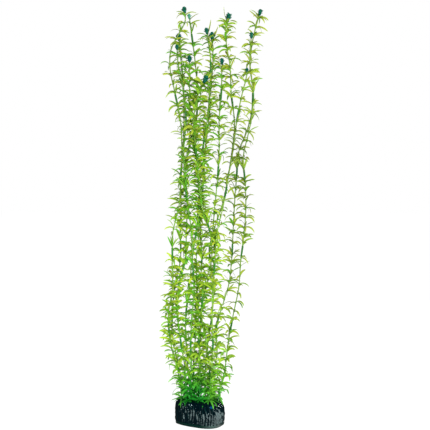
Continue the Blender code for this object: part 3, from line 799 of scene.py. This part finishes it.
class Skin:
    """Gathers the surfaces of one piece and turns them into one mesh."""

    def __init__(self, marks):
        self.points, self.faces, self.count = [], [], 0
        self.marks = {name: [] for name in marks}

    def add(self, points, faces, **marks):
        """Add rows of points, arrays of faces and one value per point for the marks given."""
        self.points.append(points)
        for block in faces:
            self.faces += (block + self.count).tolist()
        for name, values in self.marks.items():
            values.append(np.broadcast_to(marks.get(name, 0.0), len(points)))
        self.count += len(points)

    def finish(self, name, material, sharp):
        """The mesh object, smooth but for edges sharper than an angle in degrees."""
        mesh = bpy.data.meshes.new(name)
        mesh.from_pydata(np.vstack(self.points).tolist(), [], self.faces)
        for mark, values in self.marks.items():
            made = mesh.attributes.new(mark, "FLOAT", "POINT")
            made.data.foreach_set("value", np.concatenate(values).astype(np.float32))
        mesh.materials.append(material)
        mesh.polygons.foreach_set("use_smooth", np.ones(len(mesh.polygons), bool))
        mesh.set_sharp_from_angle(angle=math.radians(sharp))
        mesh.update()
        piece = bpy.data.objects.new(name, mesh)
        bpy.context.scene.collection.objects.link(piece)
        return piece


def ring_walls(rings, sides):
    """Four-cornered faces between rings of corners: each corner, the next one, and those above."""
    low = np.arange(rings - 1)[:, None] * sides + np.arange(sides)
    after = np.roll(low, -1, axis=1)
    return np.stack([low, after, after + sides, low + sides], axis=-1).reshape(-1, 4)


def tube(points, first, second, radii, sides):
    """Closed tube: at each point a ring of corners P + R (cos a F + sin a S), capped flat."""
    angles = np.arange(sides) * FULL_TURN / sides
    ring = (np.cos(angles)[:, None] * first[:, None, :]
            + np.sin(angles)[:, None] * second[:, None, :])
    corners = points[:, None, :] + ring * radii[:, None, None]
    bottom = np.arange(sides)[::-1][None, :]
    top = (np.arange(sides) + (len(points) - 1) * sides)[None, :]
    return corners.reshape(-1, 3), (ring_walls(len(points), sides), bottom, top)


def blade_faces(count, stations):
    """Faces of many blades: four-cornered rings joined along the blade, a root cap, a point."""
    corners = len(LEAF_CORNERS)
    own = stations * corners + 1
    last = np.arange(corners) + (stations - 1) * corners
    point = np.stack([last, np.roll(last, -1), np.full(corners, own - 1)], axis=-1)
    cap = np.arange(corners)[None, ::-1]
    starts = (np.arange(count) * own)[:, None, None]
    return [(block + starts).reshape(-1, block.shape[1])
            for block in (ring_walls(stations, corners), point, cap)]


def blades(roots, out, side, up, length, width, thickness, rises, bend, roll, shape):
    """Pointed blades on curved centre lines.

    At share s of its length a blade rises by an angle that goes from the first to the second
    rise as s to the rise power, and turns sideways by bend * s. Its centre line is the running
    sum of these directions times the length. Its half width is width / 2 times
    (1 - s)^a (s + r)^b over that product's peak, where shape is (a, r, b, fold). Its edges stand
    fold half widths above its middle, and it rolls over more and gets thinner towards the point.
    The sky mark is 1 where a side faces straight up, 0 straight down, and 0.5 at an edge.
    """
    tip_power, root_part, root_power, fold = shape
    stations = LEAF_STATIONS
    s = np.linspace(0.0, 1.0, stations + 1)
    rise = rises[0][:, None] + (rises[1] - rises[0])[:, None] * s**RISE_POWER
    turn = bend[:, None] * s
    flat = np.cos(turn)[..., None] * out[:, None] + np.sin(turn)[..., None] * side[:, None]
    level = -np.sin(turn)[..., None] * out[:, None] + np.cos(turn)[..., None] * side[:, None]
    ahead = np.cos(rise)[..., None] * flat + np.sin(rise)[..., None] * up[:, None]
    normal = np.cross(ahead, level)
    tilt = (roll[:, None] * (ROOT_ROLL + (1.0 - ROOT_ROLL) * s))[..., None]
    across = np.cos(tilt) * level + np.sin(tilt) * normal
    normal = np.cross(ahead, across)
    steps = (ahead[:, 1:] + ahead[:, :-1]) / 2 * (length / stations)[:, None, None]
    run = np.concatenate([np.zeros_like(steps[:, :1]), np.cumsum(steps, axis=1)], axis=1)
    centre = roots[:, None] + run
    wide = (1.0 - s) ** tip_power * (s + root_part) ** root_power
    half = width[:, None] / 2 * (wide / wide.max())[None, :]
    thick = thickness / 2 * (1.0 - POINT_THINNING * s)
    rings = np.stack([
        centre + across * half[..., None] + normal * (fold * half)[..., None],
        centre + normal * thick[:, None],
        centre - across * half[..., None] + normal * (fold * half)[..., None],
        centre - normal * thick[:, None],
    ], axis=2)[:, :stations]
    points = np.concatenate([rings.reshape(len(roots), -1, 3), centre[:, -1:]], axis=1)
    facing = normal[:, :stations, 2:] * np.array(LEAF_FACING) / 2 + 0.5
    marks = {"along": np.append(np.repeat(s[:stations], len(LEAF_CORNERS)), 1.0),
             "across": np.append(np.tile(LEAF_CORNERS, stations), 0.0)}
    marks = {name: np.tile(values, len(roots)) for name, values in marks.items()}
    at_point = np.full(len(roots), 0.5)
    marks["sky"] = np.column_stack([facing.reshape(len(roots), -1), at_point]).ravel()
    return points.reshape(-1, 3), blade_faces(len(roots), stations), marks


def smooth_step(values, start, end):
    """Values that go smoothly from 0 at start to 1 at end."""
    u = np.clip((values - start) / (end - start), 0.0, 1.0)
    return u * u * (3.0 - 2.0 * u)


def add_cane(skin, settings, route, places, sleeves, tone):
    """The cane as a tube whose radius swells to a knot at whorls and to a sleeve at joints."""
    top = route.cane_top - FIT_GAP
    edges = np.concatenate([places, places - KNOT_REACH, places + KNOT_REACH])
    edges = edges[(edges > 0) & (edges < top)]
    cuts = np.concatenate([np.arange(0.0, top, CANE_STEP), edges, [top]])
    cuts = np.unique(np.round(cuts, CUT_DECIMALS))
    points, first, second, _ = route.frames(cuts)
    knot = np.exp(-(np.min(np.abs(cuts[:, None] - places), axis=1) / KNOT_REACH) ** 2)
    half = SLEEVE_SPAN / 2 - SLEEVE_END_GAP
    sleeve = np.max(smooth_step(np.abs(cuts[:, None] - sleeves), half + SLEEVE_ROUNDING,
                                half - SLEEVE_ROUNDING), axis=1)
    sleeve = np.maximum(sleeve, smooth_step(cuts - route.crown, *FOOT_SLEEVE))
    radii = settings.cane_radius + (settings.knot_radius - settings.cane_radius) * knot
    radii = np.maximum(radii, settings.cane_radius
                       + (settings.sleeve_radius - settings.cane_radius) * sleeve)
    corners, faces = tube(points, first, second, radii, CANE_SIDES)
    skin.add(corners, faces, sleeve=np.repeat(sleeve, CANE_SIDES),
             knot=np.repeat(knot, CANE_SIDES), tone=tone)


class Clump:
    """Where the middle of all the stems is at each height, and how far they spread from it."""

    def __init__(self, routes):
        self.heights = np.arange(0.0, routes[0].length, CLUMP_STEP)
        paths = np.array([[np.interp(self.heights, route.points[:, 2], route.points[:, k],
                                     right=np.nan) for k in range(2)] for route in routes])
        self.middle = np.nanmean(paths, axis=0)
        self.spread = np.sqrt(np.nanmean(((paths - self.middle) ** 2).sum(axis=1), axis=0))

    def outwards(self, points):
        """How far out points are, as a share of the spread at their height."""
        middle = np.column_stack([np.interp(points[:, 2], self.heights, row)
                                  for row in self.middle])
        spread = np.interp(points[:, 2], self.heights, self.spread)
        return np.linalg.norm(points[:, :2] - middle, axis=1) / spread


def spokes(turn, first, second):
    """Ways out from a stem and ways sideways from those, at angles round it."""
    return (np.cos(turn)[:, None] * first + np.sin(turn)[:, None] * second,
            -np.sin(turn)[:, None] * first + np.cos(turn)[:, None] * second)


def plan_leaves(rng, route, places, index, count):
    """Whorl, order in it, breadth and shift of every leaf, and which of them are there.

    Each leaf has a chance of the leafiness to be there, and is broader where it is high.
    Where the stem is leafiest its leaves are set at random heights, further off the whorl.
    """
    whorl, order = (part.ravel() for part in np.indices((len(places), count)))
    heights, shares = np.array(LEAFINESS[index]).T
    leafiness = np.interp(route.at(places)[:, 2], heights * MM, shares)[whorl]
    kept = rng.random(len(whorl)) < leafiness
    crowd = CROWD_SHIFT * smooth_step(leafiness, *CROWD_BAND)
    shift = rng.normal(0.0, WHORL_SHIFT, len(whorl)) + rng.uniform(-1.0, 1.0, len(whorl)) * crowd
    return whorl, order, LEAN_BREADTH + ADDED_BREADTH * leafiness, shift, kept


def add_leaves(skin, settings, clump, route, places, first_whorls, index):
    """Every whorl's leaves, arching down: yellower further out, deeper in painted shade inside."""
    rng = np.random.default_rng(LEAF_SEED + index)
    count = settings.leaves
    whorl, order, breadth, shift, kept = plan_leaves(rng, route, places, index, count)
    middle, first, second, forward = route.frames(
        np.clip(places[whorl] + shift, route.crown + WHORL_BAND, route.cane_top - WHORL_BAND))
    many = len(order)
    turn = ((index + whorl) * GOLDEN_TURN + order * FULL_TURN / count
            + rng.normal(0.0, TURN_SPREAD, many))
    out, side = spokes(turn, first, second)
    high = smooth_step(middle[:, 2], *HIGH_BAND)
    width = settings.low_width + (settings.high_width - settings.low_width) * high
    length = settings.leaf_length * rng.normal(1.0, LENGTH_SPREAD, many).clip(*LENGTH_LIMITS)
    width = width * breadth * rng.normal(1.0, WIDTH_SPREAD, many).clip(*WIDTH_LIMITS)
    lift = rng.normal(0.0, WHORL_LIFT_SPREAD, len(places))[whorl]
    start = np.radians(LEAF_RISE[0] + lift + rng.normal(0.0, LEAF_RISE[1], many))
    drop = LEAF_DROP[0] - HIGH_DROP * high + rng.normal(0.0, LEAF_DROP[1], many)
    end = start - np.radians(drop)
    clasping = (first_whorls & (rng.random(len(places)) < CLASPING_SHARE))[whorl]
    top = whorl == len(places) - 1
    low = (places - route.crown < CROWN_BAND)[whorl]
    for chosen, (root, point) in ((clasping, CLASPING_RISES), (top, TOP_RISES),
                                  (low, CROWN_RISES)):
        start = np.where(chosen, np.radians(rng.normal(*root, many)), start)
        end = np.where(chosen, np.radians(rng.normal(*point, many)), end)
    bend = rng.normal(0.0, BEND_SPREAD, many)
    roll = np.radians(rng.uniform(*ROLLS, many)) * rng.choice((-1.0, 1.0), many)
    roots = middle + out * settings.cane_radius * ROOT_DEPTH
    points, faces, marks = blades(
        roots[kept], out[kept], side[kept], forward[kept], length[kept], width[kept],
        settings.leaf_thickness, (start[kept], end[kept]), bend[kept], roll[kept], LEAF_SHAPE)
    # Painted shade: leaves deep in the clump stay deeper green, those further out turn yellower and
    # lighter
    outer = smooth_step(clump.outwards(roots + out * length[:, None] / 2), *OUTER_LIGHT_BAND)
    tone = (STEM_TONES[index] + INNER_SHADE_TONE + OUTER_LIGHT_TONE * outer
            + rng.normal(0.0, TONE_SPREAD, many))
    own = len(points) // np.count_nonzero(kept)
    skin.add(points, faces, leaf=1.0, tone=np.repeat(tone[kept].clip(0.0, 1.0), own), **marks)


def add_chosen_leaves(skin, settings, route, place, table, number, tone):
    """The leaves that a table lists one by one on one stem, at one distance along it."""
    rows = np.array([row[1:] for row in table if row[0] == number], float)
    if len(rows) == 0:
        return
    turn, start, end = np.radians(rows[:, [0, 2, 3]]).T
    middle, first, second, forward = route.frames(np.full(len(rows), place))
    out, side = spokes(turn, first, second)
    level, full = np.zeros(len(rows)), np.ones(len(rows))
    points, faces, marks = blades(
        middle, out, side, forward, rows[:, 1] * MM, full * settings.high_width,
        settings.leaf_thickness, (start, end), level, level + CHOSEN_ROLL, CHOSEN_SHAPE)
    skin.add(points, faces, leaf=1.0, tone=tone, **marks)


def add_stem(settings, clump, route, index, material):
    """One leafy stem, in the place of its solid."""
    places, first_whorls = whorl_places(route)
    extra = crown_whorls(route, places)
    places = np.concatenate([extra, places])
    first_whorls = np.concatenate([np.zeros(len(extra), bool), first_whorls])
    skin = Skin(("leaf", "along", "across", "sky", "tone", "sleeve", "knot"))
    add_cane(skin, settings, route, places, sleeve_places(route), STEM_TONES[index])
    add_leaves(skin, settings, clump, route, places, first_whorls, index)
    for place, table, tone in ((route.cane_top - WHORL_BAND, ERECT_LEAVES, ERECT_TONE),
                               (route.crown + WHORL_BAND, RIM_LEAVES, RIM_TONE)):
        add_chosen_leaves(skin, settings, route, place, table, index + 1, tone)
    piece = skin.finish(f"leafy_stem_{index + 1:02d}", material, STEM_SHARP)
    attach(piece, BODY)
    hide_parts(f"stem_{index + 1:02d}")


def add_rosette(settings, index, material):
    """One growing tip: tiers of cupped scales round a short core, widest above its middle.

    The core's radius is its full one times a share at the foot plus the rest times the sine of
    pi s^p, where s is the share of its height and p its power.
    """
    route = Route(*STEM_ROUTES[index])
    rng = np.random.default_rng(TIP_SEED + index)
    size = route.tip_size
    skin = Skin(("along", "sky"))
    up = np.linspace(0.0, 1.0, CORE_RINGS)
    points, first, second, _ = route.frames(
        route.cane_top - FIT_GAP + up * CORE_HEIGHT * size)
    swell = CORE_FOOT + (1.0 - CORE_FOOT) * np.sin(math.pi * up ** CORE_POWER)
    radii = CORE_RADIUS * size * swell
    radii[0], radii[-1] = settings.neck_radius, CORE_RADIUS * size / 3
    core, faces = tube(points, first, second, radii, CORE_SIDES)
    skin.add(core, faces)
    count = settings.scales
    for tier, (level, part, start, end) in enumerate(SCALE_TIERS):
        turn = ((np.arange(count) + tier / 2) * FULL_TURN / count
                + rng.normal(0.0, SCALE_TURN_SPREAD, count))
        middle, first, second, forward = (
            np.repeat(row[None], count, axis=0)
            for row in route.frames(route.cane_top + level * size * MM))
        out, side = spokes(turn, first, second)
        length = settings.scale_length * size * part * rng.normal(1.0, SCALE_LENGTH_SPREAD, count)
        width = settings.scale_width * size * np.ones(count)
        rises = [np.radians(mean + rng.normal(0.0, spread, count))
                 for mean, spread in zip((start, end), SCALE_RISE_SPREADS)]
        bend = rng.normal(0.0, SCALE_BEND_SPREAD, count)
        roll = rng.normal(0.0, SCALE_ROLL_SPREAD, count)
        scales, faces, marks = blades(
            middle + out * CORE_RADIUS * size / 2, out, side, forward, length, width,
            SCALE_THICKNESS, rises, bend, roll, SCALE_SHAPE)
        skin.add(scales, faces, **marks)
    piece = skin.finish(f"growing_tip_{index + 1:02d}", material, TIP_SHARP)
    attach(piece, BODY)
    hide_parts(f"tip_{index + 1:02d}")


def base_outline():
    """The base's outline at even distances, and its outward directions.

    A superellipse that widens to the right, turned a little and centred on its extents.
    """
    around = np.linspace(0.0, FULL_TURN, FINE_COLUMNS)
    power = 2.0 / BASE_SQUARENESS
    across = np.sign(np.cos(around)) * np.abs(np.cos(around)) ** power
    deep = np.sign(np.sin(around)) * np.abs(np.sin(around)) ** power
    x = BASE_HALF_LENGTH * across
    y = BASE_HALF_DEPTH * deep * (1.0 + BASE_WIDENING * across)
    turned = np.column_stack([x * math.cos(BASE_TURN) - y * math.sin(BASE_TURN),
                              x * math.sin(BASE_TURN) + y * math.cos(BASE_TURN)])
    turned -= (turned.max(axis=0) + turned.min(axis=0)) / 2
    along = chords(turned)
    even = np.linspace(0.0, along[-1], BASE_COLUMNS, endpoint=False)
    outline = np.column_stack([np.interp(even, along, turned[:, k]) for k in range(2)])
    ahead = np.roll(outline, -1, axis=0) - np.roll(outline, 1, axis=0)
    return outline, unit(np.column_stack([ahead[:, 1], -ahead[:, 0]]))


def waves(rng, around, height, counts, height_pitch, terms):
    """Smooth noise on the wall: sine waves of whole counts round it and random ones up it."""
    total = 0.0
    for _ in range(terms):
        total = total + np.sin(rng.integers(*counts) * around + rng.uniform(0.0, FULL_TURN)
                               + rng.normal(0.0, FULL_TURN / height_pitch) * height)
    return total / math.sqrt(terms / 2)


def rib_relief(settings, around, height):
    """Height of the ribs, from 0 in a groove to 1 on a crest.

    Two sets of grooves wander up the wall, cross and merge. Each set is the root of a squared
    sine plus a little, whose phase is smooth noise. Their product, with lumps, is the relief.
    """
    rng = np.random.default_rng(RIB_SEED)
    wander = waves(rng, around, height, *WANDER_WAVES)
    fine = np.sqrt(np.sin(settings.ribs / 2 * around + RIB_WANDER * wander) ** 2 + RIB_BLUNTNESS)
    drift = waves(rng, around, height, *DRIFT_WAVES)
    forks = round(settings.ribs / RIBS_PER_FORK)
    forks = np.sqrt(np.sin(forks * around + FORK_WANDER * drift) ** 2 + FORK_BLUNTNESS)
    lumps = (0.5 + LUMP_SPREAD * waves(rng, around, height, *LUMP_WAVES)).clip(0.0, 1.0)
    return (fine ** CREST_POWER * (1.0 - FORK_DEPTH + FORK_DEPTH * forks)
            * (1.0 - LUMP_DEPTH + LUMP_DEPTH * lumps))


def add_base(settings, material):
    """The block: its outline carried up the section, ribbed and lumpy, with its sockets cut."""
    outline, outward = base_outline()
    knots = np.array(BASE_SECTION)
    lengths = knots * (BASE_HALF_LENGTH, 1.0, 1.0)
    chord = chords(lengths)
    fine = np.linspace(0.0, chord[-1], int(chord[-1] / BASE_STEP))
    section = hermite(knots, np.gradient(knots, chord, axis=0), chord, fine)
    share, height, shift = (column[:, None] for column in section.T)
    around = np.arange(BASE_COLUMNS)[None, :] * FULL_TURN / BASE_COLUMNS
    relief = rib_relief(settings, around, height)
    ribbed = (smooth_step(height, *RIBS_START) * smooth_step(share, *RIBS_INNER)
              * (1.0 - RIBS_FADE_SHARE * smooth_step(height, *RIBS_FADE)))
    push = ribbed * (relief - WALL_RELIEF) * settings.rib_depth
    x = outline[None, :, 0] * share + outward[None, :, 0] * push - shift
    y = outline[None, :, 1] * share + outward[None, :, 1] * push
    top_share = smooth_step(height, *TOP_START) * smooth_step(share, *TOP_INNER)
    z = height + top_share * (relief - TOP_RELIEF) * TOP_DEPTH
    wall = np.stack([x, y, z], axis=-1)
    under = np.stack([np.column_stack([outline * knots[0, 0] * part, np.zeros(BASE_COLUMNS)])
                      for part in reversed(UNDERSIDE_SHARES)])
    grid = np.concatenate([under, wall])
    lowest = np.arange(BASE_COLUMNS)
    highest = lowest + (len(grid) - 1) * BASE_COLUMNS
    bottom, top = len(grid) * BASE_COLUMNS, len(grid) * BASE_COLUMNS + 1
    round_bottom = np.stack([np.roll(lowest, -1), lowest, np.full(BASE_COLUMNS, bottom)], axis=-1)
    round_top = np.stack([highest, np.roll(highest, -1), np.full(BASE_COLUMNS, top)], axis=-1)
    ends = np.array([[0.0, 0.0, 0.0], [-knots[-1, 2], 0.0, knots[-1, 1]]])
    crest = np.concatenate([np.zeros(under.shape[:2]), relief * ribbed]).ravel()
    foot = np.concatenate([np.ones(under.shape[:2]), (1.0 - smooth_step(height, *FOOT_BAND))
                           * np.ones_like(relief)]).ravel()
    skin = Skin(("crest", "foot"))
    skin.add(np.vstack([grid.reshape(-1, 3), ends]),
             (ring_walls(len(grid), BASE_COLUMNS), round_bottom, round_top),
             crest=np.append(crest, [0.0, 0.0]), foot=np.append(foot, [1.0, 0.0]))
    piece = skin.finish("ribbed_base", material, BASE_SHARP)
    cut_sockets(piece)
    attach(piece, BODY)
    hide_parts("base")


def cut_sockets(piece):
    """Cut a round blind socket into the block under every stem."""
    skin = Skin(())
    levels = np.array([SOCKET_FLOOR, SOCKET_FLOOR + CUTTER_LENGTH])
    for _, _, points_mm in STEM_ROUTES:
        x, y = points_mm[0][0] * MM, points_mm[0][1] * MM
        middle = np.column_stack([np.full(2, x), np.full(2, y), levels])
        first, second = np.tile((1.0, 0.0, 0.0), (2, 1)), np.tile((0.0, 1.0, 0.0), (2, 1))
        corners, faces = tube(middle, first, second, np.full(2, SOCKET_RADIUS), SOCKET_CORNERS)
        skin.add(corners, faces)
    cutter = skin.finish("socket_cutter", piece.data.materials[0], SOCKET_SHARP)
    cut = piece.modifiers.new("sockets", "BOOLEAN")
    cut.operation, cut.solver, cut.object = "DIFFERENCE", "EXACT", cutter
    shown = piece.evaluated_get(bpy.context.evaluated_depsgraph_get())
    finished = bpy.data.meshes.new_from_object(shown)
    piece.modifiers.clear()
    piece.data = finished
    bpy.data.objects.remove(cutter, do_unlink=True)


class PLANT_OT_add_stems(bpy.types.Operator):
    """Build the leafy stems in the place of their solids"""

    bl_idname = "plant.add_stems"
    bl_label = "Add leafy stems"

    def execute(self, context):
        """Build every stem with one material."""
        settings = context.scene.plant_stems
        material = stem_material(settings)
        routes = [Route(*stem) for stem in STEM_ROUTES]
        clump = Clump(routes)
        for index, route in enumerate(routes):
            add_stem(settings, clump, route, index, material)
        return {"FINISHED"}


class PLANT_OT_add_tips(bpy.types.Operator):
    """Build the growing tips in the place of their solids"""

    bl_idname = "plant.add_tips"
    bl_label = "Add growing tips"

    def execute(self, context):
        """Build every rosette, one of them in the paler colour."""
        settings = context.scene.plant_tips
        dark = tip_material("tip_plastic", settings.colour)
        pale = tip_material("tip_plastic_pale", settings.pale_colour)
        for index in range(len(STEM_ROUTES)):
            add_rosette(settings, index, pale if index == PALE_TIP else dark)
        return {"FINISHED"}


class PLANT_OT_add_base(bpy.types.Operator):
    """Build the ribbed base in the place of its solid"""

    bl_idname = "plant.add_base"
    bl_label = "Add ribbed base"

    def execute(self, context):
        """Build the block and cut its sockets."""
        settings = context.scene.plant_base
        add_base(settings, base_material(settings))
        return {"FINISHED"}


class PLANT_OT_add_stage(bpy.types.Operator):
    """Build the floor, the lights and the camera"""

    bl_idname = "plant.add_stage"
    bl_label = "Add stage"

    def execute(self, context):
        """Set the stage up round the plant."""
        settings = context.scene.plant_stage
        add_floor(settings)
        add_lights(settings)
        add_camera()
        return {"FINISHED"}


class PLANT_PT_panel(bpy.types.Panel):
    """Lists the pieces of the plant and their settings."""

    bl_label = "Lagarosiphon"
    bl_idname = "PLANT_PT_panel"
    bl_space_type = "VIEW_3D"
    bl_region_type = "UI"
    bl_category = "Plant"

    def draw(self, context):
        """One box for each group of pieces."""
        groups = (("plant.add_stems", context.scene.plant_stems),
                  ("plant.add_tips", context.scene.plant_tips),
                  ("plant.add_base", context.scene.plant_base),
                  ("plant.add_stage", context.scene.plant_stage))
        for operator, settings in groups:
            box = self.layout.box()
            box.operator(operator)
            for name in settings.__annotations__:
                box.prop(settings, name)

CLASSES = (StemSettings, TipSettings, BaseSettings, StageSettings, PLANT_OT_add_stems,
           PLANT_OT_add_tips, PLANT_OT_add_base, PLANT_OT_add_stage, PLANT_PT_panel)
SETTINGS = {"plant_stems": StemSettings, "plant_tips": TipSettings,
            "plant_base": BaseSettings, "plant_stage": StageSettings}


def register():
    """Register the classes and give the scene its settings."""
    for each in CLASSES:
        bpy.utils.register_class(each)
    for name, kind in SETTINGS.items():
        setattr(bpy.types.Scene, name, bpy.props.PointerProperty(type=kind))


def unregister():
    """Take the settings and the classes away again."""
    for name in SETTINGS:
        delattr(bpy.types.Scene, name)
    for each in reversed(CLASSES):
        bpy.utils.unregister_class(each)


def add_floor(settings):
    """A round pale floor, level with the underside of the base, that glows evenly.

    In glossy reflections it is dark but for a brightly glowing patch at the right front, a
    painted light that puts a sheen on the base as a hidden lamp would.
    """
    around = np.arange(FLOOR_SIDES) * FULL_TURN / FLOOR_SIDES
    rim = np.column_stack([np.cos(around), np.sin(around), np.zeros(FLOOR_SIDES)]) * FLOOR_RADIUS
    mesh = bpy.data.meshes.new("floor")
    mesh.from_pydata(rim.tolist(), [], [list(range(FLOOR_SIDES))])
    material = bpy.data.materials.new("floor_paint")
    material.use_nodes = True
    tree = material.node_tree
    shader = tree.nodes["Principled BSDF"]
    shader.inputs["Base Color"].default_value = (*settings.floor, 1.0)
    shader.inputs["Roughness"].default_value = 1.0
    shader.inputs["Specular IOR Level"].default_value = 0.0
    shader.inputs["Emission Color"].default_value = WHITE
    place = node(tree, "ShaderNodeTexCoord").outputs["Object"]
    # Painted light: a glowing patch of floor, seen only in reflections, that puts a sheen on the
    # base's ribs
    sheen = times(tree, fade(tree, distance(tree, place, SHEEN_PLACE), *SHEEN_REACH), SHEEN_GLOW)
    mirrored = node(tree, "ShaderNodeLightPath").outputs["Is Glossy Ray"]
    change = times(tree, mirrored, calc(tree, "SUBTRACT", sheen, MIRRORED_LOSS))
    glow = calc(tree, "ADD", FLOOR_GLOW, change)
    tree.links.new(glow, shader.inputs["Emission Strength"])
    mesh.materials.append(material)
    floor = bpy.data.objects.new("floor", mesh)
    bpy.context.scene.collection.objects.link(floor)


def add_light(name, place, aim, size, power, mirrored=False):
    """A rectangular light that faces a point, and shows in glossy plastic only if mirrored."""
    light = bpy.data.lights.new(name, "AREA")
    light.shape = "RECTANGLE"
    light.size, light.size_y = size
    light.energy = power
    lamp = bpy.data.objects.new(name, light)
    lamp.location = place
    lamp.visible_glossy = mirrored
    look_at(lamp, aim)
    bpy.context.scene.collection.objects.link(lamp)


def look_at(thing, aim):
    """Turn a lamp or camera so that it faces a point."""
    away = Vector(aim) - thing.location
    thing.rotation_euler = away.to_track_quat("-Z", "Y").to_euler()


def add_lights(settings):
    """White surroundings, a large soft light at the right front, and small ones for the base."""
    world = bpy.data.worlds.new("studio")
    world.use_nodes = True
    tree = world.node_tree
    background = tree.nodes["Background"]
    background.inputs["Color"].default_value = WHITE
    path = node(tree, "ShaderNodeLightPath").outputs
    gain = times(tree, path["Is Camera Ray"], 1.0 - settings.world_light)
    loss = times(tree, path["Is Glossy Ray"], settings.world_light - MIRRORED_WORLD)
    strength = calc(tree, "SUBTRACT", calc(tree, "ADD", settings.world_light, gain), loss)
    tree.links.new(strength, background.inputs["Strength"])
    bpy.context.scene.world = world
    add_light("key", KEY_PLACE, KEY_AIM, KEY_SIZE, settings.key_power)
    for name, place, size, power, mirrored in STRIPS:
        add_light(name, place, STRIP_AIM, size, power, mirrored)


def add_camera():
    """The camera at the photo's viewing angle."""
    view = bpy.data.cameras.new("camera")
    view.lens, view.sensor_width = CAMERA_LENS, CAMERA_SENSOR
    camera = bpy.data.objects.new("camera", view)
    camera.location = CAMERA_PLACE
    look_at(camera, CAMERA_AIM)
    bpy.context.scene.collection.objects.link(camera)
    bpy.context.scene.camera = camera
    bpy.context.scene.view_settings.view_transform = "Standard"


def main():
    """Build all pieces and the stage."""
    register()
    bpy.ops.plant.add_stage()
    bpy.ops.plant.add_base()
    bpy.ops.plant.add_stems()
    bpy.ops.plant.add_tips()


if __name__ == "__main__":
    main()
